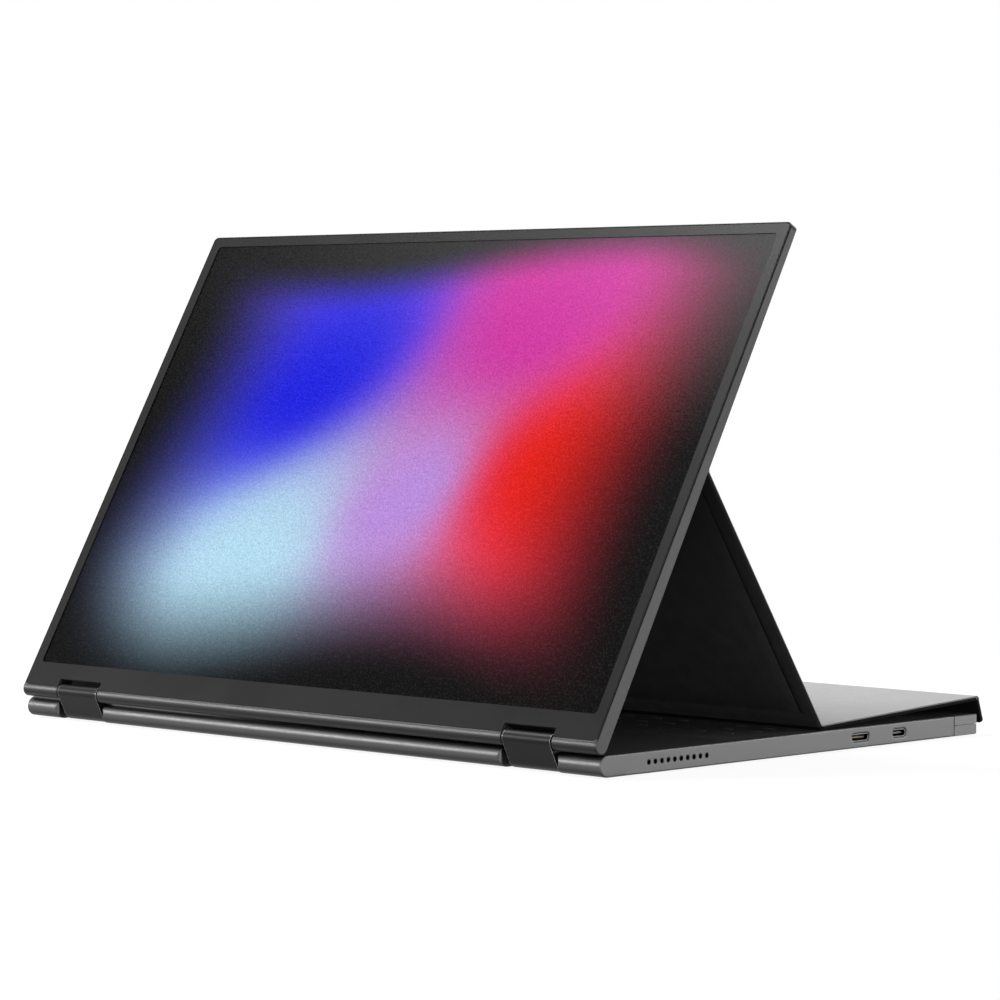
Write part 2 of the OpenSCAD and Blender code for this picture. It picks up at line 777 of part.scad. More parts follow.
module base_flex() {
  ribbon_t = 0.3;
  top_z = ceiling_z - seat;
  start_x = switch_x + carrier_w;
  color([0.75, 0.45, 0.1]) placed() {
    translate([start_x, rocker_y - 3, top_z - ribbon_t]) cube([board_x - 30 - start_x + eps, 6, ribbon_t]);
    translate([board_x - 30, board_y + 18, top_z - ribbon_t]) cube([30 + eps, 16, ribbon_t]);
    translate([board_x, board_y + 18, board_z + pcb_t]) cube([6, 16, top_z - board_z - pcb_t]);
  }
}

// ---- buttons ----

// A key in the left wall with a flange behind it; the origin is on the wall's inner face.
module side_key(len, gap) {
  shank = button_proud + side_wall + gap;
  translate([-side_wall - button_proud, 0, 0]) pill_x(len, button_h, shank + eps);
  translate([gap, 0, 0]) pill_x(len + 1.6, button_h + 1, button_flange);
}

module power_button() {
  color([0.36, 0.36, 0.37]) placed() translate([-body_w / 2 + side_wall, power_y, socket_z])
    side_key(power_len, 0.05);
}

// The rocker turns a little about an upright pivot behind its middle.
module menu_rocker() {
  tab_h = 1.6;
  tab_w = 2.6;
  wall_x = -body_w / 2 + side_wall;
  color([0.36, 0.36, 0.37]) placed() difference() {
    union() {
      translate([wall_x, rocker_y, socket_z]) side_key(rocker_len, 0.35);
      translate([wall_x + 0.4, rocker_y - tab_w / 2, socket_z - tab_h / 2])
        cube([pivot_x - wall_x - 0.4, tab_w, tab_h]);
      translate([pivot_x, rocker_y, socket_z - tab_h / 2]) cylinder(r = tab_w / 2, h = tab_h);
    }
    translate([pivot_x, rocker_y, socket_z - 2]) cylinder(r = pivot_r + 0.03, h = 4);
  }
}

// ---- upper monitor ----

// Side profile of the upper monitor: round hinge edge and a back that tapers to the top.
module screen_profile() {
  circle(edge_r, $fn = 96);
  polygon([[0, edge_r], [0, -edge_r], [screen_top_s, back_top_n], [screen_top_s, edge_r]]);
}

// Rounds the two top corners of the upper monitor.
module top_corner_cut() {
  for (side = [-1, 1]) translate([side * (body_w / 2 - corner_r), screen_top_s - corner_r, -20])
    difference() {
      translate([side > 0 ? 0 : -corner_r - 1, 0, 0]) cube([corner_r + 1, corner_r + 1, 40]);
      cylinder(r = corner_r, h = 40);
    }
}

// Bevels along the sides and the top edge of the upper monitor.
module screen_bevels() {
  for (side = [-1, 1]) {
    translate([side * body_w / 2, 0, edge_r]) edge_cutter(edge_bevel, screen_len);
    translate([side * body_w / 2, 0, -edge_r]) rotate([back_angle, 0, 0]) edge_cutter(edge_bevel, screen_len);
  }
  round_end_bevels(edge_r, edge_bevel);
  for (n = [back_top_n, edge_r]) translate([-body_w / 2 - 1, screen_top_s, n])
    rotate([0, 0, -90]) edge_cutter(edge_bevel, body_w + 2);
}

module screen_notch_cut() {
  translate([-notch_w / 2, -20, -20]) cube([notch_w, 20 + screen_notch_s, 40]);
}

module screen_shell() {
  cavity_low = screen_notch_s + notch_wall;
  color([0.36, 0.36, 0.37]) on_screen() difference() {
    along_x(body_w) screen_profile();
    intersection() {
      block(body_w - 2 * side_wall, cavity_low, screen_top_s - side_wall - cavity_low, -10, 20);
      along_x(body_w) polygon([[0, edge_r + 1], [0, -edge_r + shell_wall],
        [screen_top_s, back_top_n + shell_wall], [screen_top_s, edge_r + 1]]);
    }
    translate([0, bezel_low_s, edge_r - bezel_t])
      rounded_plate(body_w - 2 * lip, screen_top_s - lip - bezel_low_s, 5, corner_r - lip);
    at_hinges() hinge_bays(notch_w / 2 + notch_wall, notch_w / 2 + notch_wall, cavity_low + eps,
      -edge_r + shell_wall + 0.1, edge_r - bezel_t);
    at_hinges() screen_notch_cut();
    at_hinges() rod_x(pin_r + 0.1, notch_w + 3 * notch_wall);
    top_corner_cut();
    screen_bevels();
  }
}

module screen_bezel() {
  color([0.15, 0.15, 0.15]) on_screen() difference() {
    translate([0, 0, edge_r]) bezel_plate(bezel_low_s + bezel_gap, screen_top_s - lip - bezel_gap, view_low_s);
    at_hinges() screen_notch_cut();
  }
}

module screen_display() {
  on_screen() translate([0, 0, edge_r]) display_panel(view_low_s);
}

module screen_backlight() {
  on_screen() translate([0, 0, edge_r]) backlight(view_low_s);
}

// Thin timing board behind the display's lower edge.
module screen_board() {
  color([0.05, 0.25, 0.12]) on_screen() {
    n = edge_r - display_depth - 1.1;
    translate([-timing_w / 2, view_low_s + 2, n]) cube([timing_w, 11, 0.7]);
    for (x = [-60, -10, 40]) translate([x, view_low_s + 4, n + 0.7 - eps]) cube([12, 7, 0.4 + eps]);
  }
}

// Flat ribbons that lie behind the display, from the timing board up to its driver strip.
module screen_flex() {
  n = edge_r - display_depth - 1.1;
  color([0.75, 0.45, 0.1]) on_screen() for (x = [-48, 30])
    translate([x - 11, view_low_s + 13, n]) cube([22, 40, 0.3]);
}

screen_leaf_n = -edge_r + 1.1;
screen_leaf_s = screen_notch_s + notch_wall + 0.4;

module screen_brackets() {
  color([0.3, 0.3, 0.31]) on_screen() at_hinges()
    hinge_bracket(screen_bay, screen_bay, screen_leaf_s, screen_leaf_n);
}

module screen_pins() {
  color([0.7, 0.7, 0.72]) on_screen() at_hinges() hinge_pin(screen_bay, screen_bay);
}

module screen_bracket_screws() {
  color([0.6, 0.6, 0.62]) on_screen() at_hinges() for (x = [-screen_bay, screen_bay])
    translate([x, screen_leaf_s + leaf_len / 2, screen_leaf_n + bracket_t])
      screw(1.7, 0.6, 1.0, bracket_t);
}

// Steel keeper strips inside the back, which the cover's magnets hold to.
module screen_magnets() {
  color([0.6, 0.6, 0.62]) on_screen() for (x = [-magnet_x, 0, magnet_x], s = [fold_s + 18, screen_top_s - 22])
    translate([x - 20, s, back_n(s) + shell_wall + seat]) rotate([back_angle, 0, 0])
      cube([40, 6, 0.35]);
}

// ---- cover ----

// One layer of a cover panel between two folds, from depth z below the skin's face.
// A free end has no gap and round corners; inset draws a layer back from the panel's sides.
module panel_layer(len, z, t, inset, free) {
  w = cover_w - 2 * inset;
  start = fold_gap + inset;
  translate([0, start, z - t]) linear_extrude(t) {
    if (free) far_rounded(w, len - start - inset, cover_corner - inset);
    else translate([-w / 2, 0]) square([w, len - start - fold_gap - inset]);
  }
}

// Pressed line in the lining, a shallow groove inside the panel's edge.
module lining_line(len, z) {
  line_w = 0.6;
  line_t = 0.2;
  inner_w = cover_w - 2 * border_line;
  translate([0, border_line, z - eps]) linear_extrude(line_t + eps) difference() {
    rounded_outline(inner_w, len - 2 * border_line, 2);
    translate([0, line_w]) rounded_outline(inner_w - 2 * line_w, len - 2 * border_line - 2 * line_w, 1.4);
  }
}

module skin_layer(len, free = false) {
  color([0.72, 0.72, 0.72]) panel_layer(len, 0, skin_t, 0, free);
}

module board_layer(len, free = false) {
  color([0.5, 0.47, 0.42]) panel_layer(len, -skin_t, board_t, board_inset, free);
}

// The lining is a tray whose rim covers the board's edges.
module lining_layer(len, free = false) {
  color([0.06, 0.06, 0.07]) difference() {
    panel_layer(len, -skin_t, board_t + lining_t, 0, free);
    translate([0, 0, eps]) panel_layer(len, -skin_t, board_t + eps, board_inset - 0.05, free);
    if (len > 4 * border_line) lining_line(len, -cover_t);
  }
}

// The top panel lies on the upper monitor's back, its skin facing the rear.
top_len = screen_top_s - 3 - fold_s;

module on_top_panel() {
  on_screen() translate([0, fold_s, fold_n]) rotate([back_angle, 0, 0]) rotate([0, 180, 0])
    children();
}

module top_skin() {
  on_top_panel() skin_layer(top_len, true);
}

module top_board() {
  on_top_panel() difference() {
    board_layer(top_len, true);
    magnet_spots() block(41, -3.5, 7, -skin_t - board_t - eps, board_t + 2 * eps);
  }
}

// Magnets let into the top panel's board.
module magnet_spots() {
  for (x = [-magnet_x, 0, magnet_x], s = [21, top_len - 17]) translate([x, s, 0]) children();
}

module top_magnets() {
  color([0.5, 0.5, 0.52]) on_top_panel() magnet_spots()
    block(40, -3, 6, -skin_t - board_t, board_t);
}

module top_lining() {
  on_top_panel() lining_layer(top_len, true);
}

module on_strut() {
  at_fold(mid_fold, -strut_drop) children();
}

module strut_skin() {
  on_strut() skin_layer(strut_len);
}

module strut_board() {
  on_strut() board_layer(strut_len);
}

module strut_lining() {
  on_strut() lining_layer(strut_len);
}

module on_foot() {
  at_fold(foot_fold, foot_rise) children();
}

module foot_skin() {
  on_foot() skin_layer(foot_len);
}

module foot_board() {
  on_foot() board_layer(foot_len);
}

module foot_lining() {
  on_foot() lining_layer(foot_len);
}

// The flap turns about the lining's edge, so its layers start above the fold line.
module on_flap() {
  at_fold(flap_fold, -flap_drop) translate([0, 0, cover_t]) children();
}

module flap_skin() {
  on_flap() skin_layer(flap_len, true);
}

module flap_board() {
  on_flap() board_layer(flap_len, true);
}

module flap_lining() {
  on_flap() lining_layer(flap_len, true);
}

base_shell();
rear_rail_upper();
rear_rail_lower();
base_bezel();
base_display();
base_backlight();
rubber_feet();
deck_pads();
deck_dashes();
base_brackets();
base_pins();
base_bracket_screws();
main_board();
board_screws();
data_socket();
video_socket();
speaker_left();
speaker_right();
speaker_mesh();
button_switches();
base_flex();
power_button();
menu_rocker();
link_left();
link_right();
screen_shell();
screen_bezel();
screen_display();
screen_backlight();
screen_board();
screen_flex();
screen_brackets();
screen_pins();
screen_bracket_screws();
screen_magnets();
top_skin();
top_board();
top_magnets();
top_lining();
strut_skin();
strut_board();
strut_lining();
foot_skin();
foot_board();
foot_lining();
flap_skin();
flap_board();
flap_lining();
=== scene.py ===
"""A folding two-screen portable monitor that stands on its cover."""
import json
import math

import bmesh
import bpy
from mathutils import Matrix, Vector, noise


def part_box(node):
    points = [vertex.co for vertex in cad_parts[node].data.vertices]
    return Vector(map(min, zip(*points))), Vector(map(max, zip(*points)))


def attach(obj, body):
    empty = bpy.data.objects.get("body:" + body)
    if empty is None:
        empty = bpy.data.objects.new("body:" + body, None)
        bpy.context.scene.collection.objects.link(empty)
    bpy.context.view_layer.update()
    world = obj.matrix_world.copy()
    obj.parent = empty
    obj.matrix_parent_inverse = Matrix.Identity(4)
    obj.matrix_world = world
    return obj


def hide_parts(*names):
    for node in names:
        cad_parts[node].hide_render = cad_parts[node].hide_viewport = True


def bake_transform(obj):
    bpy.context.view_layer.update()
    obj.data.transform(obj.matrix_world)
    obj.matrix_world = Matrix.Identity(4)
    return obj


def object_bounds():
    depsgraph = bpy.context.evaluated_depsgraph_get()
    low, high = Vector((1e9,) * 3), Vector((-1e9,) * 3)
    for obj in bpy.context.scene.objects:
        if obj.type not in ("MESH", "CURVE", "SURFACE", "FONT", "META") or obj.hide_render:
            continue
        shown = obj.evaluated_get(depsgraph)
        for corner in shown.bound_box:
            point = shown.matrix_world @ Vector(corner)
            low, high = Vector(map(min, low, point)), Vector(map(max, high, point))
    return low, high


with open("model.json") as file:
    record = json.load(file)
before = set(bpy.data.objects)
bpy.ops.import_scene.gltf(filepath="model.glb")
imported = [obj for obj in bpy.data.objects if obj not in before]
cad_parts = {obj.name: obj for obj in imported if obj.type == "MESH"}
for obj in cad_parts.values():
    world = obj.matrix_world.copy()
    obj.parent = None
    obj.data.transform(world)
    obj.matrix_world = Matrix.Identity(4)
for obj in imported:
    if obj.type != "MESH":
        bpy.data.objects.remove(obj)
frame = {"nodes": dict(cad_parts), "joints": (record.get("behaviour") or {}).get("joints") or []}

cad_box = [list(corner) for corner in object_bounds()]
nodes = frame["nodes"]
scene = bpy.context.scene
scene.view_settings.view_transform = "Standard"
joint_named = {j["name"]: j for j in frame["joints"]}
hinge_at = {j["name"]: Vector(j["pos_m"]) for j in frame["joints"] if "pos_m" in j}
base_hinge, screen_hinge = hinge_at["lower_hinge"], hinge_at["upper_hinge"]

# Directions and angles; the cover's angles are in degrees above level.
SCREEN_RISE = math.radians(60.44)
UP_SCREEN = Vector((0, math.cos(SCREEN_RISE), math.sin(SCREEN_RISE)))
OUT_OF_SCREEN = Vector((0, -math.sin(SCREEN_RISE), math.cos(SCREEN_RISE)))
BACK, DOWN = Vector((0, 1, 0)), Vector((0, 0, -1))
TOP_DOWN, STRUT_DOWN, FOOT_BACK, FLAP_DOWN = -118.87, -56.96, 2.9, -72.2

# Sizes in metres, with two counts: the sound holes on a side and the waves of the cover in a metre.
MM = 0.001
HINGE_X, NOTCH_HALF, NOTCH_RELIEF = 140.0 * MM, 14.22 * MM, 2.6 * MM
BASE_NOTCH, SCREEN_NOTCH, BEZEL_NOTCH = 4.72 * MM, 4.62 * MM, 4.7 * MM
EDGE_END, CROWDED_END, CREVICE_REACH, SEAM_W = 1.4 * MM, 9.0 * MM, 7.0 * MM, 0.4 * MM
SIDE_X, HOLE_FIRST, HOLE_PITCH, HOLE_RIM = 170.0 * MM, -91.511 * MM, 3.74 * MM, 1.12 * MM
VIEW_W, VIEW_H, VIEW_LOW = 344.68 * MM, 215.42 * MM, 11.98 * MM
COVER_W, SKIN_T, COVER_T, FOLD_GAP = 352.2 * MM, 0.6 * MM, 2.0 * MM, 0.3 * MM
CORNER_R, PRESSED_IN, PRESSED_W, PRESSED_DEEP = 1.2 * MM, 6.8 * MM, 0.8 * MM, 0.22 * MM
SKIN_ROLL, SKIN_GAP, SKIN_DIP, SKIN_WAVE = 0.42 * MM, 0.015 * MM, 0.045 * MM, 0.04 * MM
LINING_ROLL, LINING_T, RIM_W = 0.4 * MM, 0.49 * MM, 0.95 * MM
HOLES, WAVES_PER_M = 10, 22

# Sizes in millimetres: each socket's place along Y, its tongue's half width and half thickness, and its
# contacts' count and pitch.
SOCKETS = {"data_socket": (62.089, 3.35, 0.35, 12, 0.5), "video_socket": (36.889, 4.0, 0.3, 10, 0.8)}
SOCKET_Z, MOUTH, TONGUE_TIP = 4.65, 177.35, 176.4
STRIP_LONG, STRIP_T, STRIP_LIFT = 2.2, 0.05, 0.004

# The glows of the display's picture: place in units of its height, colour and weight.
GLOWS = (
    ((0.46, 0.72), "0a10de", 1.0),
    ((0.98, 0.80), "cc129c", 0.9),
    ((1.26, 0.44), "e4160a", 1.0),
    ((0.56, 0.22), "b4dcf0", 0.9),
    ((0.94, 0.34), "b88cdc", 0.3),
)


def grey(value):
    """A neutral colour from its brightness on a 0 to 255 scale."""
    c = value / 255
    c = c / 12.92 if c <= 0.04045 else ((c + 0.055) / 1.055) ** 2.4
    return (c, c, c, 1)


def colour(code):
    """A colour from its six-digit code."""
    return tuple(grey(int(code[i : i + 2], 16))[0] for i in (0, 2, 4)) + (1,)


# ---- node trees ----


def put(tree, kind, wires=None, **settings):
    """Adds a node; a wire's value is either a number or the socket that feeds it."""
    made = tree.nodes.new(kind)
    for name, value in settings.items():
        setattr(made, name, value)
    for key, value in (wires or {}).items():
        if isinstance(value, bpy.types.NodeSocket):
            tree.links.new(value, made.inputs[key])
        else:
            made.inputs[key].default_value = value
    return made


def sums(tree, kind, *values):
    """One Math node with its inputs in order."""
    return put(tree, "ShaderNodeMath", dict(enumerate(values)), operation=kind).outputs[0]


def vectors(tree, kind, first, second=None, scale=None):
    """One Vector Math node; the kinds that measure give a number."""
    wires = {0: first}
    if second is not None:
        wires[1] = second if isinstance(second, bpy.types.NodeSocket) else tuple(second)
    if scale is not None:
        wires[3] = scale
    made = put(tree, "ShaderNodeVectorMath", wires, operation=kind)
    return made.outputs["Value" if kind in ("DOT_PRODUCT", "LENGTH", "DISTANCE") else "Vector"]


def ramp(tree, value, low, high, to_low=0.0, to_high=1.0, smooth=True):
    """A value taken from one range to another, and held at its ends."""
    kind = "SMOOTHSTEP" if smooth else "LINEAR"
    wires = {"Value": value, "From Min": low, "From Max": high, "To Min": to_low, "To Max": to_high}
    return put(tree, "ShaderNodeMapRange", wires, interpolation_type=kind).outputs["Result"]


def blend_colours(tree, factor, a, b):
    """Colour a where the factor is 0 and colour b where it is 1."""
    return put(tree, "ShaderNodeMix", {0: factor, 6: a, 7: b}, data_type="RGBA").outputs[2]


def noise_on(tree, place, scale, detail, **more):
    """Soft noise: its first output is a value and its second a colour."""
    wires = {"Vector": place, "Scale": scale, "Detail": detail, **more}
    return put(tree, "ShaderNodeTexNoise", wires).outputs


def place_on(tree):
    """The shaded point in the part's own frame, in metres."""
    return put(tree, "ShaderNodeTexCoord").outputs["Object"]


def facing(tree):
    """The way that the shaded point faces."""
    return put(tree, "ShaderNodeNewGeometry").outputs["Normal"]


def along_axis(tree, vector, axis):
    """One of a vector's three parts."""
    return put(tree, "ShaderNodeSeparateXYZ", {0: vector}).outputs[axis]


def sideways(tree):
    """How squarely the shaded point faces the left or the right side."""
    return sums(tree, "ABSOLUTE", along_axis(tree, facing(tree), 0))


def distance_along(tree, origin, way):
    """How far the shaded point lies from an origin in one direction, in metres."""
    return vectors(tree, "DOT_PRODUCT", vectors(tree, "SUBTRACT", place_on(tree), origin), way)


def reach_of(node_name, joint_name, way):
    """How far a CAD node reaches from a joint in one direction, in metres."""
    return max((v.co - hinge_at[joint_name]).dot(way) for v in nodes[node_name].data.vertices)


# ---- effects that several finishes share ----


def shared_effect(name, inputs, *outputs, kind="Float"):
    """An empty shader node group with named inputs, their defaults, and named outputs of one kind."""
    tree = bpy.data.node_groups.new(name, "ShaderNodeTree")
    for label, value in inputs.items():
        socket = tree.interface.new_socket(label, in_out="INPUT", socket_type="NodeSocketFloat")
        socket.default_value = value
    for label in outputs:
        tree.interface.new_socket(label, in_out="OUTPUT", socket_type="NodeSocket" + kind)
    return tree, tree.nodes.new("NodeGroupInput").outputs, tree.nodes.new("NodeGroupOutput").inputs


def effect(tree, group, **values):
    """Places a group; its inputs are given by name, as numbers or as the sockets that feed them."""
    wires = {name.replace("_", " ").capitalize(): value for name, value in values.items()}
    return put(tree, "ShaderNodeGroup", wires, node_tree=group).outputs


def make_fine_grain():
    """Blasted or moulded grain: a fine noise with a coarser one under it."""
    tree, inside, out = shared_effect(
        "fine grain", {"Grain size": 0.0004, "Coarse share": 0.3}, "Tone", "Height"
    )
    place = place_on(tree)
    rate = sums(tree, "DIVIDE", 1.0, inside["Grain size"])
    fine = noise_on(tree, place, rate, 1.0)[0]
    coarse = noise_on(tree, place, sums(tree, "MULTIPLY", rate, 0.12), 3.0)[0]
    mixed = put(tree, "ShaderNodeMix", {0: inside["Coarse share"], 2: fine, 3: coarse}).outputs[0]
    tree.links.new(ramp(tree, mixed, 0.3, 0.7), out["Tone"])
    tree.links.new(mixed, out["Height"])
    return tree


def make_handling():
    """Slow patches where hands and cloths have changed the sheen."""
    tree, inside, out = shared_effect("handling", {"Patch size": 0.05}, "Patches")
    rate = sums(tree, "DIVIDE", 1.0, inside["Patch size"])
    cloud = noise_on(tree, place_on(tree), rate, 4.0, Distortion=0.6)[0]
    tree.links.new(ramp(tree, cloud, 0.35, 0.68), out["Patches"])
    return tree


def make_edge_wear_and_highlight():
    """A mask along outer edges, broken up by noise: wear where a finish is thin, and a painted highlight
    where an edge catches light.
    """
    tree, inside, out = shared_effect("edge wear and painted highlight", {"Edge width": 0.0004, "Break up": 0.3}, "Edge")
    rounded = put(tree, "ShaderNodeBevel", {"Radius": inside["Edge width"]}, samples=4).outputs[0]
    edge = ramp(tree, vectors(tree, "DOT_PRODUCT", rounded, facing(tree)), 0.96, 0.82)
    gaps = ramp(tree, noise_on(tree, place_on(tree), 90.0, 4.0)[0], 0.3, 0.6)
    share = put(tree, "ShaderNodeMix", {0: inside["Break up"], 2: 1.0, 3: gaps}).outputs[0]
    tree.links.new(sums(tree, "MULTIPLY", edge, share), out["Edge"])
    return tree


def make_notch_shade():
    """A mask for painted shade on the walls of the two hinge notches, from the place along and out of the
    hinge line.
    """
    tree, inside, out = shared_effect(
        "painted notch shade", {"Depth": 1.0, "Depth limit": 0.0, "Left": 0.0, "Right": 0.0}, "Recess"
    )
    x = along_axis(tree, place_on(tree), 0)
    either = 0.0
    for middle in (-HINGE_X, HINGE_X):
        along = sums(tree, "SUBTRACT", x, middle)
        after = sums(tree, "GREATER_THAN", along, inside["Left"])
        before = sums(tree, "LESS_THAN", along, inside["Right"])
        either = sums(tree, "MAXIMUM", either, sums(tree, "MULTIPLY", after, before))
    shallow = sums(tree, "LESS_THAN", inside["Depth"], inside["Depth limit"])
    tree.links.new(sums(tree, "MULTIPLY", either, shallow), out["Recess"])
    return tree


def make_seam_line():
    """A mask on both sides of a straight seam, from a place on one axis."""
    tree, inside, out = shared_effect("seam line", {"Place": 0.0, "Seam": 0.0, "Half width": 0.0001}, "Line")
    away = sums(tree, "ABSOLUTE", sums(tree, "SUBTRACT", inside["Place"], inside["Seam"]))
    tree.links.new(sums(tree, "LESS_THAN", away, inside["Half width"]), out["Line"])
    return tree


def make_hole_rim_shade():
    """A mask for painted shade on the rims of the sound holes in both sides."""
    tree, inside, out = shared_effect("painted hole rim shade", {"First": 0.0, "Pitch": 0.00374, "Radius": 0.001}, "Rim")
    x, y, z = put(tree, "ShaderNodeSeparateXYZ", {0: place_on(tree)}).outputs
    turns = sums(tree, "DIVIDE", sums(tree, "SUBTRACT", y, inside["First"]), inside["Pitch"])
    nearest = sums(tree, "MINIMUM", sums(tree, "ROUND", turns), HOLES - 1.0)
    nearest = sums(tree, "MAXIMUM", nearest, 0.0)
    along = sums(tree, "MULTIPLY", sums(tree, "SUBTRACT", turns, nearest), inside["Pitch"])
    above = sums(tree, "SUBTRACT", z, SOCKET_Z * MM)
    away = vectors(tree, "LENGTH", put(tree, "ShaderNodeCombineXYZ", {0: along, 1: above}).outputs[0])
    near = sums(tree, "LESS_THAN", away, inside["Radius"])
    outer = sums(tree, "GREATER_THAN", sums(tree, "ABSOLUTE", x), SIDE_X)
    tree.links.new(sums(tree, "MULTIPLY", near, outer), out["Rim"])
    return tree


def make_crevice_shade():
    """A mask for painted shade in places that other surfaces crowd, such as the slit between the two round
    edges.
    """
    tree, inside, out = shared_effect("crevice_shade", {"Reach": 0.006}, "Crowded")
    seen = put(tree, "ShaderNodeAmbientOcclusion", {"Distance": inside["Reach"]}, samples=6).outputs["AO"]
    tree.links.new(ramp(tree, seen, 0.66, 0.3), out["Crowded"])
    return tree


def make_underside_shade():
    """A mask for painted shade on what faces the floor, from the slope of the surface."""
    tree, inside, out = shared_effect("underside_shade", {"Start": 0.1, "End": -0.6}, "Under")
    height = along_axis(tree, facing(tree), 2)
    tree.links.new(ramp(tree, height, inside["Start"], inside["End"]), out["Under"])
    return tree


fine_grain = make_fine_grain()
handling = make_handling()
edge_wear_and_highlight = make_edge_wear_and_highlight()
notch_shade = make_notch_shade()
seam_line = make_seam_line()
hole_rim_shade = make_hole_rim_shade()
crevice_shade = make_crevice_shade()
underside_shade = make_underside_shade()


# ---- masks for a finish's marks ----


def shaded_notch_walls(tree, origin, way, limit, left, right):
    """Painted shade in both hinge notches, from their left to their right side and as deep as the limit."""
    depth = distance_along(tree, origin, way)
    return effect(tree, notch_shade, depth=depth, depth_limit=limit, left=left, right=right)["Recess"]


def seam_at(tree, axis, seam, half_width):
    """A thin line across one axis."""
    place = along_axis(tree, place_on(tree), axis)
    return effect(tree, seam_line, place=place, seam=seam, half_width=half_width)["Line"]


def sound_hole_rim_shade(tree):
    """Painted shade on the rims of the sound holes in both sides."""
    return effect(tree, hole_rim_shade, first=HOLE_FIRST, pitch=HOLE_PITCH, radius=HOLE_RIM)["Rim"]


def shaded_towards_floor(tree, start, end):
    """Painted shade on what turns down to the floor, more and more between two slopes."""
    return effect(tree, underside_shade, start=start, end=end)["Under"]


def shaded_upper_ends(tree, start, end):
    """Painted shade on the thin ends of a slab, more and more between two heights."""
    height = along_axis(tree, place_on(tree), 2)
    return sums(tree, "MULTIPLY", ramp(tree, sideways(tree), 0.6, 0.95), ramp(tree, height, start, end))


def bezel_seam(tree, origin, way, outwards, front):
    """The line round a slab where its frame meets its bezel."""
    rim = sums(tree, "GREATER_THAN", distance_along(tree, origin, outwards), front)
    past = sums(tree, "GREATER_THAN", distance_along(tree, origin, way), EDGE_END)
    return sums(tree, "MULTIPLY", rim, past)


def shaded_crowded_edge(tree, origin, way):
    """Painted shade on the part of a round edge that lies close to its neighbour."""
    crowded = effect(tree, crevice_shade, reach=CREVICE_REACH)["Crowded"]
    near_hinge = sums(tree, "LESS_THAN", distance_along(tree, origin, way), CROWDED_END)
    sloping = sums(tree, "LESS_THAN", along_axis(tree, facing(tree), 2), 0.985)
    return sums(tree, "MULTIPLY", crowded, sums(tree, "MULTIPLY", near_hinge, sloping))


# ---- finishes ----


def finish(name, **settings):
    """A new material; its constants are set straight on the shader's sockets."""
    made = bpy.data.materials.new(name)
    made.use_nodes = True
    shader = made.node_tree.nodes["Principled BSDF"]
    for key, value in settings.items():
        shader.inputs[key.replace("_", " ")].default_value = value
    return made, made.node_tree, shader


def lay_finish(tree, shader, tone, patches, rough, bump, depth, height):
    """Wires a colour, a roughness that follows patches, and a relief to the shader."""
    tree.links.new(tone, shader.inputs["Base Color"])
    tree.links.new(ramp(tree, patches, 0.0, 1.0, *rough), shader.inputs["Roughness"])
    relief = put(tree, "ShaderNodeBump", {"Strength": bump, "Distance": depth, "Height": height})
    tree.links.new(relief.outputs[0], shader.inputs["Normal"])
    return relief


def grained(
    name, low, high, grain=0.0004, coarse=0.3, bump=0.1, depth=0.00002, rough=(0.4, 0.5),
    edge=None, edge_width=0.0004, rounding=None, notches=None, marks=(), **settings
):
    """A finish with grain, handled patches, wear and a painted highlight along its edges, painted shade in
    its notches, and marks of (shade, mask, values).
    """
    made, tree, shader = finish(name, **settings)
    grains = effect(tree, fine_grain, grain_size=grain, coarse_share=coarse)
    tone = blend_colours(tree, grains["Tone"], low, high)
    # The edge colour is partly wear and partly a painted highlight.
    if edge:
        worn_and_lit = effect(tree, edge_wear_and_highlight, edge_width=edge_width, break_up=0.35)["Edge"]
        tone = blend_colours(tree, worn_and_lit, tone, edge)
    # The notches' walls get painted shade: a dark colour and no metal sheen.
    if notches:
        walls = shaded_notch_walls(tree, *notches)
        tone = blend_colours(tree, walls, tone, grey(12))
        if "Metallic" in settings:
            metal = sums(tree, "MULTIPLY", sums(tree, "SUBTRACT", 1.0, walls), settings["Metallic"])
            tree.links.new(metal, shader.inputs["Metallic"])
    for shade, mask, *values in marks:
        tone = blend_colours(tree, mask(tree, *values), tone, shade)
    patches = effect(tree, handling, patch_size=0.045)["Patches"]
    relief = lay_finish(tree, shader, tone, patches, rough, bump, depth, grains["Height"])
    if rounding:
        rounded = put(tree, "ShaderNodeBevel", {"Radius": rounding}, samples=6)
        tree.links.new(rounded.outputs[0], relief.inputs["Normal"])
    return made


screen_front = reach_of("screen_shell", "upper_hinge", OUT_OF_SCREEN) - SEAM_W
base_floor = reach_of("base_shell", "lower_hinge", DOWN) - SEAM_W
rail_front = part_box("rear_rail_lower")[0][1]
anodised = {"grain": 0.00035, "coarse": 0.04, "depth": 0.00003, "edge_width": 0.0003, "Metallic": 0.8}
housing_metal = grained(
    "anodised housing", grey(75), grey(81), bump=0.08, rounding=0.0007, rough=(0.38, 0.41),
    edge=grey(120), notches=(base_hinge, BACK, BASE_NOTCH, -NOTCH_HALF - NOTCH_RELIEF, NOTCH_HALF),
    # Painted shade on the sound holes' rims, on faces that turn to the floor and where the round edges crowd;
    # a dark seam at the bezel.
    marks=(
        (grey(6), sound_hole_rim_shade),
        (grey(54), shaded_towards_floor, -0.1, -0.75),
        (grey(10), bezel_seam, base_hinge, BACK, DOWN, base_floor),
        (grey(6), shaded_crowded_edge, base_hinge, BACK),
    ),
    **anodised,
)
rail_metal = grained(
    "anodised rear rails", grey(78), grey(84), bump=0.08, rough=(0.38, 0.41), edge=grey(120),
    # A dark seam between the rails, and painted shade on faces that turn to the floor.
    marks=((grey(24), seam_at, 1, rail_front, 0.22 * MM), (grey(54), shaded_towards_floor, -0.1, -0.75)),
    **anodised,
)
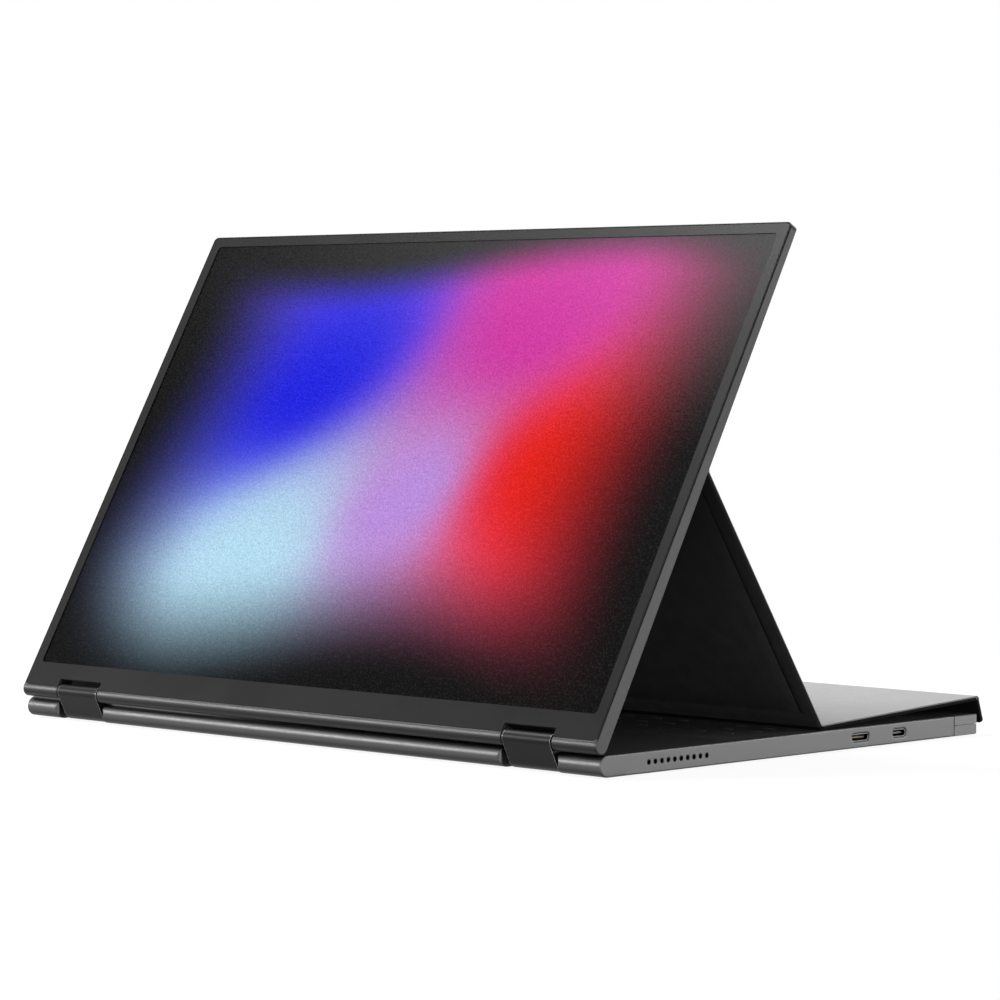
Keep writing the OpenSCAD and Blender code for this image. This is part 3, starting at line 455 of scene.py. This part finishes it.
screen_metal = grained(
    "anodised screen frame", grey(53), grey(59), bump=0.08, rounding=0.0007, rough=(0.37, 0.4),
    edge=grey(84), notches=(screen_hinge, UP_SCREEN, SCREEN_NOTCH, -NOTCH_HALF, NOTCH_HALF),
    # Painted shade on faces that turn to the floor, on the thin ends higher up and where the round edges
    # crowd; a dark seam at the bezel.
    marks=(
        (grey(22), shaded_towards_floor, 0.15, -0.45),
        (grey(14), shaded_upper_ends, 0.0, 0.165),
        (grey(10), bezel_seam, screen_hinge, UP_SCREEN, OUT_OF_SCREEN, screen_front),
        (grey(6), shaded_crowded_edge, screen_hinge, UP_SCREEN),
    ),
    **anodised,
)
key_metal = grained(
    "anodised keys", grey(66), grey(73), bump=0.12, rough=(0.3, 0.36), edge=grey(130), **anodised
)
# The links' pale edge colour is mostly a painted highlight along their edges.
link_metal = grained(
    "dark hinge metal", grey(22), grey(27), grain=0.00035, coarse=0.05, bump=0.12, rough=(0.36, 0.4),
    edge=grey(180), Metallic=0.6, Specular_IOR_Level=0.15,
)
bare_steel = grained("bare steel", grey(150), grey(165), grain=0.0006, rough=(0.3, 0.4), Metallic=1.0)
bezel_plastic = grained(
    "bezel", grey(14), grey(18), grain=0.0003, bump=0.15, rough=(0.34, 0.4), Specular_IOR_Level=0.11,
    notches=(screen_hinge, UP_SCREEN, BEZEL_NOTCH, -NOTCH_HALF, NOTCH_HALF),
)
rubber = grained("rubber feet", grey(26), grey(34), grain=0.0005, bump=0.3, rough=(0.7, 0.85))
moulding = grained("black moulding", grey(24), grey(30), grain=0.0005, rough=(0.5, 0.6))
circuit_green = grained("circuit board", grey(20), colour("1f5a34"), grain=0.004, rough=(0.4, 0.5))
ribbon_amber = grained("ribbon", colour("9a5a1c"), colour("b4702c"), grain=0.002, rough=(0.35, 0.45))
light_guide = grained("light guide", grey(225), grey(235), grain=0.002, rough=(0.3, 0.4))
stiffener = grained("stiff board", colour("4e463c"), colour("5d5447"), grain=0.0012, rough=(0.8, 0.9))
grip_dash = grained("grip dash", grey(46), grey(54), grain=0.0005, bump=0.2, rough=(0.6, 0.7))
gold = grained(
    "gold contacts", colour("c79a3c"), colour("e0b85a"), grain=0.001, rough=(0.25, 0.3), Metallic=1.0
)


def make_socket_finish():
    """Plated steel shells round a black tongue, told apart by their place, with painted shade on the shells
    deep inside.
    """
    made, tree, shader = finish("socket shell and tongue")
    grains = effect(tree, fine_grain, grain_size=0.0006, coarse_share=0.3)
    x, y, z = put(tree, "ShaderNodeSeparateXYZ", {0: place_on(tree)}).outputs
    level = sums(tree, "ABSOLUTE", sums(tree, "SUBTRACT", z, SOCKET_Z * MM))
    tongue = 0.0
    for middle, half_w, half_t, *_ in SOCKETS.values():
        aside = sums(tree, "ABSOLUTE", sums(tree, "SUBTRACT", y, middle * MM))
        across = sums(tree, "LESS_THAN", aside, (half_w + 0.05) * MM)
        within = sums(tree, "MULTIPLY", across, sums(tree, "LESS_THAN", level, (half_t + 0.05) * MM))
        tongue = sums(tree, "MAXIMUM", tongue, within)
    plated = blend_colours(tree, grains["Tone"], grey(96), grey(108))
    # Deep inside the mouth the shell gets painted shade.
    deep = sums(tree, "LESS_THAN", sums(tree, "ABSOLUTE", x), MOUTH * MM)
    plated = blend_colours(tree, deep, plated, grey(26))
    tree.links.new(blend_colours(tree, tongue, plated, grey(13)), shader.inputs["Base Color"])
    tree.links.new(sums(tree, "SUBTRACT", 1.0, tongue), shader.inputs["Metallic"])
    tree.links.new(ramp(tree, grains["Tone"], 0.0, 1.0, 0.34, 0.42), shader.inputs["Roughness"])
    return made


def make_pad_finish():
    """Soft grip pad: near black with a close pebble grain."""
    made, tree, shader = finish("grip pad", IOR=1.35)
    pebbles = put(tree, "ShaderNodeTexVoronoi", {"Vector": place_on(tree), "Scale": 1400.0}, feature="F1")
    grains = effect(tree, fine_grain, grain_size=0.0006, coarse_share=0.5)
    tone = blend_colours(tree, grains["Tone"], grey(18), grey(26))
    lay_finish(
        tree, shader, tone, grains["Tone"], rough=(0.75, 0.9), bump=0.5, depth=0.00008,
        height=pebbles.outputs[0],
    )
    return made


def make_skin_finish():
    """Light grey coated cloth: a leather-like pebble with a little cloudiness and darker cut sides."""
    made, tree, shader = finish("cover skin", IOR=1.4)
    place = place_on(tree)
    bent = vectors(tree, "SCALE", noise_on(tree, place, 500.0, 2.0)[1], scale=0.0006)
    moved = vectors(tree, "ADD", bent, place)
    pebble = put(tree, "ShaderNodeTexVoronoi", {"Vector": moved, "Scale": 1500.0}, feature="SMOOTH_F1")
    grains = effect(tree, fine_grain, grain_size=0.0005, coarse_share=0.4)
    patches = effect(tree, handling, patch_size=0.08)["Patches"]
    cloudy = blend_colours(tree, grains["Tone"], grey(170), grey(184))
    cloudy = blend_colours(tree, patches, cloudy, grey(175))
    tone = blend_colours(tree, ramp(tree, sideways(tree), 0.3, 0.75), cloudy, grey(92))
    lay_finish(
        tree, shader, tone, patches, rough=(0.55, 0.66), bump=0.35, depth=0.00006, height=pebble.outputs[0]
    )
    return made


def shaded_towards_fold(tree, woven, origin, way, end):
    """Painted shade on a panel's lining towards its fold and along its two pressed lines."""
    down = distance_along(tree, origin, way)
    woven = blend_colours(tree, ramp(tree, down, -0.02, 0.11), grey(3), woven)
    aside = sums(tree, "ABSOLUTE", along_axis(tree, place_on(tree), 0))
    pressed_x = COVER_W / 2 - PRESSED_IN
    line = effect(tree, seam_line, place=aside, seam=pressed_x, half_width=PRESSED_W / 2)["Line"]
    after = sums(tree, "GREATER_THAN", down, PRESSED_IN)
    within = sums(tree, "MULTIPLY", after, sums(tree, "LESS_THAN", down, end - PRESSED_IN))
    return blend_colours(tree, sums(tree, "MULTIPLY", line, within), woven, grey(1))


def make_lining_finish(name, low, high, gloss=0.5, fold=None):
    """Black close-woven lining, a plain weave at a third of a millimetre, with its cut sides sealed."""
    made, tree, shader = finish(
        name, IOR=1.3, Specular_IOR_Level=gloss, Sheen_Weight=0.1 * gloss, Sheen_Roughness=0.6
    )
    wires = {"Vector": place_on(tree), "Scale": 480.0, "Distortion": 0.4, "Detail": 1.0}
    warp = put(tree, "ShaderNodeTexWave", wires, bands_direction="X").outputs[1]
    weft = put(tree, "ShaderNodeTexWave", wires, bands_direction="Z").outputs[1]
    grains = effect(tree, fine_grain, grain_size=0.0008, coarse_share=0.6)
    woven = blend_colours(tree, grains["Tone"], low, high)
    if fold:
        woven = shaded_towards_fold(tree, woven, *fold)
    tone = blend_colours(tree, ramp(tree, sideways(tree), 0.6, 0.85), woven, grey(12))
    cloth = sums(tree, "MULTIPLY", warp, weft)
    lay_finish(
        tree, shader, tone, grains["Tone"], rough=(0.78, 0.92), bump=0.4, depth=0.00005, height=cloth
    )
    return made


def direction(degrees):
    """The unit vector in Y and Z at an angle above level."""
    a = math.radians(degrees)
    return Vector((0, math.cos(a), math.sin(a)))


strut_way = direction(STRUT_DOWN)
strut_end = reach_of("strut_lining", "strut_fold", strut_way)
socket_finish = make_socket_finish()
grip_pad = make_pad_finish()
cover_skin = make_skin_finish()
cover_lining = make_lining_finish("cover lining", grey(18), grey(25))
# A darker copy of the lining: painted shade for the foot's and the flap's undersides and for the folds'
# linings.
shade_darkened_lining = make_lining_finish("pressed lining", grey(6), grey(9), gloss=0.1)
# A lighter copy of the lining, painted light for the strut's face in the wedge, with painted shade towards
# its upper fold.
strut_lining = make_lining_finish(
    "strut lining", grey(35), grey(45), gloss=0.2, fold=(hinge_at["strut_fold"], strut_way, strut_end)
)


def across_screen(tree):
    """The place on the display as two numbers, along its width and up its height, in units of its height."""
    local = vectors(tree, "SUBTRACT", place_on(tree), screen_hinge + UP_SCREEN * VIEW_LOW)
    across = vectors(tree, "DOT_PRODUCT", local, (1, 0, 0))
    up = vectors(tree, "DOT_PRODUCT", local, UP_SCREEN)
    across = sums(tree, "MULTIPLY_ADD", across, 1 / VIEW_H, VIEW_W / VIEW_H / 2)
    return across, sums(tree, "MULTIPLY", up, 1 / VIEW_H)


def blended_glows(tree, spot):
    """The glows' colours at a spot, each the stronger the nearer it is."""
    mixed, total = (0.0, 0.0, 0.0), 0.0
    for (x, y), code, weight in GLOWS:
        away = sums(tree, "ADD", vectors(tree, "DISTANCE", spot, (x, y, 0)), 0.03)
        near = sums(tree, "DIVIDE", weight, sums(tree, "POWER", away, 3.6))
        mixed = vectors(tree, "ADD", mixed, vectors(tree, "SCALE", colour(code)[:3], scale=near))
        total = sums(tree, "ADD", total, near)
    return vectors(tree, "SCALE", mixed, scale=sums(tree, "DIVIDE", 1.0, total))


def faded_sides(tree, across, up):
    """How far the picture is lit, from 0 in black corners to 1, with four swaying sides."""
    fade = 1.0
    for start, away, turn, speed, reach in (
        (0.0, across, up, 6.0, 0.40),
        (VIEW_W / VIEW_H, across, up, 5.0, -0.42),
        (0.0, up, across, 4.6, 0.30),
        (1.0, up, across, 3.8, -0.13),
    ):
        sway = sums(tree, "MULTIPLY", sums(tree, "SINE", sums(tree, "MULTIPLY", turn, speed)), 0.045)
        inwards = sums(tree, "ADD", sums(tree, "SUBTRACT", away, start), sway)
        fade = sums(tree, "MULTIPLY", fade, ramp(tree, sums(tree, "DIVIDE", inwards, reach), -0.1, 1.0))
    return fade


def make_picture():
    """The lit picture: soft colours that run into each other in slanting waves on a grainy black, with a
    painted sheen that grows towards the upper right.
    """
    tree, inside, out = shared_effect("colour waves", {"Grain": 0.14}, "Picture", kind="Color")
    across, up = across_screen(tree)
    sway = sums(tree, "SINE", sums(tree, "MULTIPLY_ADD", up, 4.6, 0.5))
    x = sums(tree, "MULTIPLY_ADD", sway, 0.09, across)
    sway = sums(tree, "SINE", sums(tree, "MULTIPLY_ADD", x, 3.4, 1.2))
    y = sums(tree, "MULTIPLY_ADD", sway, 0.08, up)
    glow = blended_glows(tree, put(tree, "ShaderNodeCombineXYZ", {0: x, 1: y}).outputs[0])
    specks = noise_on(tree, place_on(tree), 1300.0, 0.0)[0]
    specks = ramp(tree, specks, 0.25, 0.75, -1.0, 1.0, smooth=False)
    grain = sums(tree, "MULTIPLY_ADD", specks, inside["Grain"], 1.0)
    light = sums(tree, "MULTIPLY", sums(tree, "POWER", faded_sides(tree, across, up), 1.6), grain)
    # A grey painted sheen, stronger towards the upper right, is added to the emitted picture.
    painted_sheen = sums(tree, "MULTIPLY", ramp(tree, across, -0.5, 1.8), ramp(tree, up, 0.5, 1.08, 0.001, 0.078))
    painted_sheen = sums(tree, "ADD", painted_sheen, sums(tree, "MULTIPLY_ADD", grain, 0.06, -0.06))
    painted_sheen = sums(tree, "MAXIMUM", painted_sheen, 0.0)
    sheen_veil = put(tree, "ShaderNodeCombineXYZ", {0: painted_sheen, 1: painted_sheen, 2: painted_sheen}).outputs[0]
    tree.links.new(vectors(tree, "ADD", vectors(tree, "SCALE", glow, scale=light), sheen_veil), out["Picture"])
    return tree


def make_display_finish(name, picture=None):
    """Black glass, either dark and handled or lit by a picture."""
    made, tree, shader = finish(
        name, Roughness=0.3, Specular_IOR_Level=0.015, Emission_Strength=1.0 if picture else 0.0
    )
    grains = effect(tree, fine_grain, grain_size=0.0005, coarse_share=0.2)
    tree.links.new(blend_colours(tree, grains["Tone"], grey(6), grey(10)), shader.inputs["Base Color"])
    if picture:
        tree.links.new(effect(tree, picture)["Picture"], shader.inputs["Emission Color"])
    else:
        patches = effect(tree, handling, patch_size=0.06)["Patches"]
        tree.links.new(ramp(tree, patches, 0.0, 1.0, 0.12, 0.2), shader.inputs["Roughness"])
    return made


display_on = make_display_finish("lit display", make_picture())
display_off = make_display_finish("dark display")
finished = (
    (housing_metal, "base_shell"),
    (rail_metal, "rear_rail_upper rear_rail_lower"),
    (screen_metal, "screen_shell"),
    (key_metal, "power_button menu_rocker"),
    (link_metal, "link_left link_right base_brackets screen_brackets"),
    (bare_steel, "base_pins screen_pins base_bracket_screws screen_bracket_screws board_screws"),
    (bare_steel, "screen_magnets top_magnets"),
    (bezel_plastic, "base_bezel screen_bezel"),
    (display_on, "screen_display"),
    (display_off, "base_display"),
    (light_guide, "base_backlight screen_backlight"),
    (rubber, "rubber_feet"),
    (grip_pad, "deck_pads"),
    (grip_dash, "deck_dashes"),
    (circuit_green, "main_board screen_board"),
    (ribbon_amber, "base_flex screen_flex"),
    (socket_finish, "data_socket video_socket"),
    (moulding, "speaker_left speaker_right speaker_mesh button_switches"),
    (cover_skin, "top_skin strut_skin foot_skin flap_skin"),
    (stiffener, "top_board strut_board foot_board flap_board"),
    (cover_lining, "top_lining strut_lining foot_lining flap_lining"),
)
for made, names in finished:
    for name in names.split():
        nodes[name].data.materials.clear()
        nodes[name].data.materials.append(made)


# ---- pieces ----


def smooth_mesh(bm, name):
    """The finished mesh of a closed form, its faces turned outwards and shaded smooth."""
    bmesh.ops.recalc_face_normals(bm, faces=bm.faces)
    mesh = bpy.data.meshes.new(name)
    bm.to_mesh(mesh)
    bm.free()
    for face in mesh.polygons:
        face.use_smooth = True
    return mesh


def piece(name, mesh, body, material):
    """An object that rides on one body."""
    made = bpy.data.objects.new(name, mesh)
    scene.collection.objects.link(made)
    mesh.materials.clear()
    mesh.materials.append(material)
    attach(made, body)
    return made


def band_mesh(name, outer, inner, x_low, x_high, cuts=40):
    """A band along X whose cross-section lies between two rows of points in Y and Z."""
    bm = bmesh.new()
    rows = []
    for i in range(cuts + 1):
        x = x_low + (x_high - x_low) * i / cuts
        rows.append([bm.verts.new((x, p[1], p[2])) for p in list(outer) + list(reversed(inner))])
    count = len(rows[0])
    for a, b in zip(rows, rows[1:]):
        for i in range(count):
            k = (i + 1) % count
            bm.faces.new((a[i], a[k], b[k], b[i]))
    for row in (rows[0], rows[-1]):
        for i in range(len(outer) - 1):
            bm.faces.new((row[i], row[i + 1], row[count - 2 - i], row[count - 1 - i]))
    return smooth_mesh(bm, name)


def fold_band(name, joint, travel, side, outer_r, inner_r, material, slot_name, steps=12):
    """A bend of skin (side 1) or lining (side -1) that closes the gap between two panels."""
    before, after = travel
    pivot = hinge_at[joint["name"]]
    start, end = pivot - direction(before) * FOLD_GAP, pivot + direction(after) * FOLD_GAP
    rows = []
    for r in (outer_r, inner_r):
        row = [start + direction(before + side * 90) * r]
        for i in range(steps + 1):
            row.append(pivot + direction(before + side * 90 + (after - before) * i / steps) * r)
        row.append(end + direction(after + side * 90) * r)
        rows.append(row)
    mesh = band_mesh(name, rows[0], rows[1], -COVER_W / 2, COVER_W / 2)
    made = bpy.data.objects.new(name, mesh)
    scene.collection.objects.link(made)
    mesh.materials.append(material)
    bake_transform(made)


def graded(low, high, step=7.0):
    """Places from low to high in metres, close together over the rolled ends and the pressed line."""
    rolled = [d * MM for d in (0, 0.08, 0.18, 0.3, 0.45, 0.7, 0.94, 0.96, 1.2, 2.4)]
    pressed = [d * MM for d in (6.2, 6.5, 6.65, 6.95, 7.1, 7.4)]
    reach = high - low
    ends = rolled + (pressed if reach > 4 * pressed[-1] else [])
    start, end = ends[-1], reach - ends[-1]
    count = max(1, round((end - start) / (step * MM)))
    middle = [start + (end - start) * i / count for i in range(1, count)]
    return [low + d for d in ends + middle] + [high - d for d in reversed(ends)]


def drop(away, radius):
    """How far a rounded edge falls, at a distance from its side."""
    gap = max(0.0, radius - away)
    return radius - math.sqrt(max(0.0, radius * radius - gap * gap))


def round_corner(x, y, x_half, y_high):
    """Moves a point beyond a sheet's outer corner onto the corner's arc."""
    over_x, over_y = CORNER_R - (x_half - abs(x)), CORNER_R - (y_high - y)
    if over_x <= 0 or over_y <= 0:
        return x, y
    reach = max(over_x, over_y) / math.hypot(over_x, over_y)
    return math.copysign(x_half - CORNER_R + over_x * reach, x), y_high - CORNER_R + over_y * reach


def panel_sheet(node_name, body, joint_name, degrees, way, free, shape, material, slot_name):
    """A cover's skin or lining, made to the size of its solid: shape(low, high, edge, rim, x, y) forms it."""
    origin, along, outwards = hinge_at[joint_name], direction(degrees) * way, direction(degrees + 90)
    own = [v.co - origin for v in nodes[node_name].data.vertices]
    x_half = max(v.x for v in own)
    y_low, y_high = min(v.dot(along) for v in own), max(v.dot(along) for v in own)
    z_low, z_high = min(v.dot(outwards) for v in own), max(v.dot(outwards) for v in own)
    xs, ys = graded(-x_half, x_half), graded(y_low, y_high)
    bm = bmesh.new()
    sides = ([], [])
    for x in xs:
        for rows in sides:
            rows.append([])
        for y in ys:
            side, end, start = x_half - abs(x), y_high - y, y - y_low
            edge = min(side, end) if free else side
            px, py = round_corner(x, y, x_half, y_high) if free else (x, y)
            for rows, z in zip(sides, shape(z_low, z_high, edge, min(side, end, start), x, y)):
                rows[-1].append(bm.verts.new(origin + Vector((px, 0, 0)) + along * py + outwards * z))
    for rows in sides:
        for a, b in zip(rows, rows[1:]):
            for i in range(len(ys) - 1):
                bm.faces.new((a[i], b[i], b[i + 1], a[i + 1]))
    low, high = sides
    last_x, last_y = len(xs) - 1, len(ys) - 1
    ring = [(i, 0) for i in range(last_x)] + [(last_x, j) for j in range(last_y)]
    ring += [(i, last_y) for i in range(last_x, 0, -1)] + [(0, j) for j in range(last_y, 0, -1)]
    for (i, j), (k, m) in zip(ring, ring[1:] + ring[:1]):
        bm.faces.new((low[i][j], low[k][m], high[k][m], high[i][j]))
    mesh = smooth_mesh(bm, node_name + "_sheet")
    mesh.set_sharp_from_angle(angle=math.radians(40))
    made = piece(node_name + "_sheet", mesh, body, material)
    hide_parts(node_name)


def skin_heights(z_low, z_high, edge, rim, x, y):
    """A flat back and a face with rolled sides that lies a hair uneven on its board."""
    calm = min(1.0, edge / (6 * MM), rim / (3 * MM))
    uneven = noise.noise(Vector((x * WAVES_PER_M, y * WAVES_PER_M, 3.0))) * SKIN_WAVE
    return z_low, z_high - drop(edge, SKIN_ROLL) - SKIN_GAP - calm * (SKIN_DIP - uneven)


def lining_heights(z_low, z_high, edge, rim, x, y):
    """A tray: a raised rim beside the board, rolled sides, and a pressed line inside its edge."""
    pressed = PRESSED_DEEP if abs(rim - PRESSED_IN) < PRESSED_W / 2 else 0.0
    return z_low + drop(edge, LINING_ROLL) + pressed, z_high if rim < RIM_W else z_low + LINING_T


panels = (
    ("top", cover_lining, "upper_monitor", "strut_fold", TOP_DOWN, -1, True),
    ("strut", strut_lining, "strut_panel", "strut_fold", STRUT_DOWN, 1, False),
    ("foot", shade_darkened_lining, "foot_panel", "foot_fold", FOOT_BACK, 1, False),
    ("flap", shade_darkened_lining, "flap_panel", "flap_fold", FLAP_DOWN, 1, True),
)
for name, lining, *place in panels:
    panel_sheet(name + "_skin", *place, skin_heights, cover_skin, "cover_skin")
    panel_sheet(name + "_lining", *place, lining_heights, lining, "cover_lining")

# Each fold's two angles, then the outer and inner radius of its skin and of its lining.
folds = (
    ("strut_fold", (TOP_DOWN, STRUT_DOWN), (0.0, -0.55 * MM), (1.96 * MM, 1.5 * MM)),
    ("foot_fold", (STRUT_DOWN, FOOT_BACK), (0.0, -0.55 * MM), (1.98 * MM, 1.5 * MM)),
    ("flap_fold", (FOOT_BACK, FLAP_DOWN), (COVER_T, COVER_T - SKIN_T), (0.0, -0.45 * MM)),
)
for name, travel, skin, lining in folds:
    fold_band(name + "_skin", joint_named[name], travel, 1, *skin, cover_skin, "cover_skin")
    fold_band(name + "_lining", joint_named[name], travel, -1, *lining, shade_darkened_lining, "cover_lining")


def make_contact_rows():
    """Rows of flat strips on both faces of a tongue, side by side along Y."""
    tree = bpy.data.node_groups.new("contact rows", "GeometryNodeTree")
    kinds = (
        ("Start", "Vector"), ("Count", "Int"), ("Pitch", "Float"), ("Strip", "Vector"),
        ("Faces apart", "Float"), ("Finish", "Material"),
    )
    for label, kind in kinds:
        tree.interface.new_socket(label, in_out="INPUT", socket_type="NodeSocket" + kind)
    tree.interface.new_socket("Geometry", in_out="OUTPUT", socket_type="NodeSocketGeometry")
    inside = tree.nodes.new("NodeGroupInput").outputs
    out = tree.nodes.new("NodeGroupOutput")
    across = put(tree, "ShaderNodeCombineXYZ", {1: inside["Pitch"]}).outputs[0]
    apart = put(tree, "ShaderNodeCombineXYZ", {2: inside["Faces apart"]}).outputs[0]
    strip = put(tree, "GeometryNodeMeshCube", {"Size": inside["Strip"]}).outputs[0]
    row = put(tree, "GeometryNodeMeshLine", {"Count": inside["Count"], "Offset": across}).outputs[0]
    one = put(tree, "GeometryNodeInstanceOnPoints", {"Points": row, "Instance": strip}).outputs[0]
    faces = put(
        tree, "GeometryNodeMeshLine", {"Count": 2, "Start Location": inside["Start"], "Offset": apart}
    ).outputs[0]
    both = put(tree, "GeometryNodeInstanceOnPoints", {"Points": faces, "Instance": one}).outputs[0]
    real = put(tree, "GeometryNodeRealizeInstances", {"Geometry": both}).outputs[0]
    done = put(tree, "GeometryNodeSetMaterial", {"Geometry": real, "Material": inside["Finish"]})
    tree.links.new(done.outputs[0], out.inputs[0])
    return tree


def grown(tree, **values):
    """The plain mesh that a node tree makes with these inputs."""
    holder = bpy.data.objects.new("holder", bpy.data.meshes.new("holder"))
    scene.collection.objects.link(holder)
    rows = holder.modifiers.new("rows", "NODES")
    rows.node_group = tree
    for item in tree.interface.items_tree:
        if item.in_out == "INPUT":
            rows[item.identifier] = values[item.name.replace(" ", "_").lower()]
    graph = bpy.context.evaluated_depsgraph_get()
    mesh = bpy.data.meshes.new_from_object(holder.evaluated_get(graph), depsgraph=graph)
    holder.modifiers.remove(rows)
    bpy.data.objects.remove(holder)
    return mesh


contact_rows = make_contact_rows()
bm = bmesh.new()
for middle, _, half_t, count, pitch in SOCKETS.values():
    level = half_t + STRIP_LIFT
    start = Vector((TONGUE_TIP - STRIP_LONG / 2, middle - pitch * (count - 1) / 2, SOCKET_Z - level))
    bm.from_mesh(grown(
        contact_rows, start=start * MM, count=count, pitch=pitch * MM, faces_apart=2 * level * MM,
        strip=Vector((STRIP_LONG, pitch / 2, STRIP_T)) * MM, finish=gold,
    ))
contacts = bpy.data.meshes.new("socket_contacts")
bm.to_mesh(contacts)
bm.free()
piece("socket_contacts", contacts, "lower_monitor", gold)


# ---- camera, light and floor ----


def make_camera():
    """A long lens a little above the table, in front of the part and to its right."""
    data = bpy.data.cameras.new("camera")
    data.lens, data.sensor_width = 140.095, 36.0
    data.clip_start, data.clip_end = 0.05, 20
    made = bpy.data.objects.new("camera", data)
    eye = Vector((1209.53, -1199.63, 173.11)) * MM
    right = Vector((0.705453, 0.708754, -0.00202))
    up = Vector((-0.029451, 0.032163, 0.999044))
    turn = Matrix((right, up, right.cross(up))).transposed().to_4x4()
    made.matrix_world = Matrix.Translation(eye) @ turn
    scene.collection.objects.link(made)
    scene.camera = made


def seen_directly(tree):
    """1 where the camera, a gloss or a clear piece looks at a surface, and 0 where it only lights."""
    rays = put(tree, "ShaderNodeLightPath").outputs
    seen = sums(tree, "MAXIMUM", rays["Is Camera Ray"], rays["Is Glossy Ray"])
    return sums(tree, "MAXIMUM", seen, rays["Is Transmission Ray"])


def blank_tree(owner):
    """The empty node tree of a material or a world."""
    owner.use_nodes = True
    owner.node_tree.nodes.clear()
    return owner.node_tree


def make_world():
    """A white room that gives the part only a little light."""
    scene.world = bpy.data.worlds.new("studio")
    tree = blank_tree(scene.world)
    room = put(tree, "ShaderNodeBackground", {"Color": grey(235), "Strength": 0.3})
    white = put(tree, "ShaderNodeBackground", {"Color": (1, 1, 1, 1), "Strength": 1.0})
    wires = {0: seen_directly(tree), 1: room.outputs[0], 2: white.outputs[0]}
    both = put(tree, "ShaderNodeMixShader", wires)
    put(tree, "ShaderNodeOutputWorld", {"Surface": both.outputs[0]})


def make_floor(size=6, clearance=0.2 * MM):
    """A pale table top: white far off, and near the part with just enough shade for its shadow."""
    mesh = bpy.data.meshes.new("floor")
    bm = bmesh.new()
    bmesh.ops.create_grid(bm, x_segments=2, y_segments=2, size=size)
    bm.to_mesh(mesh)
    bm.free()
    made = bpy.data.objects.new("floor", mesh)
    made.location.z = cad_box[0][2] - clearance
    scene.collection.objects.link(made)
    pale = bpy.data.materials.new("pale floor")
    tree = blank_tree(pale)
    far = ramp(tree, vectors(tree, "LENGTH", place_on(tree)), 0.2, 0.5)
    matt = put(tree, "ShaderNodeBsdfDiffuse", {"Color": grey(110)})
    bright = put(tree, "ShaderNodeEmission", {"Color": (1, 1, 1, 1), "Strength": 0.9})
    near = put(tree, "ShaderNodeAddShader", {0: matt.outputs[0], 1: bright.outputs[0]})
    white = put(tree, "ShaderNodeEmission", {"Color": (1, 1, 1, 1), "Strength": 1.0})
    lit = put(tree, "ShaderNodeMixShader", {0: far, 1: near.outputs[0], 2: white.outputs[0]})
    plain = put(tree, "ShaderNodeBsdfDiffuse", {"Color": grey(225)})
    wires = {0: seen_directly(tree), 1: plain.outputs[0], 2: lit.outputs[0]}
    both = put(tree, "ShaderNodeMixShader", wires)
    put(tree, "ShaderNodeOutputMaterial", {"Surface": both.outputs[0]})
    mesh.materials.append(pale)


def make_lamp(name, place, size, power, aim=(0, 0, 0.08)):
    """A softbox that looks at the object and is itself out of sight."""
    data = bpy.data.lights.new(name, "AREA")
    data.shape, data.size, data.size_y, data.energy = "RECTANGLE", size[0], size[1], power
    made = bpy.data.objects.new(name, data)
    made.location = place
    made.rotation_mode = "QUATERNION"
    made.rotation_quaternion = (Vector(aim) - Vector(place)).to_track_quat("-Z", "Y")
    made.visible_camera = False
    scene.collection.objects.link(made)


make_camera()
make_world()
make_floor()
make_lamp("front left softbox", (-1.12, -1.24, 0.47), (1.1, 0.24), 18.5)
make_lamp("screen softbox", (-0.85, -0.34, 1.5), (0.6, 0.6), 24)
make_lamp("right softbox", (1.3, 1.35, 0.22), (1.2, 0.38), 17)
make_lamp("side fill softbox", (1.5, -0.75, 0.25), (0.6, 0.6), 12)
make_lamp("overhead softbox", (0.3, 0.9, 1.6), (1.6, 1.0), 5)
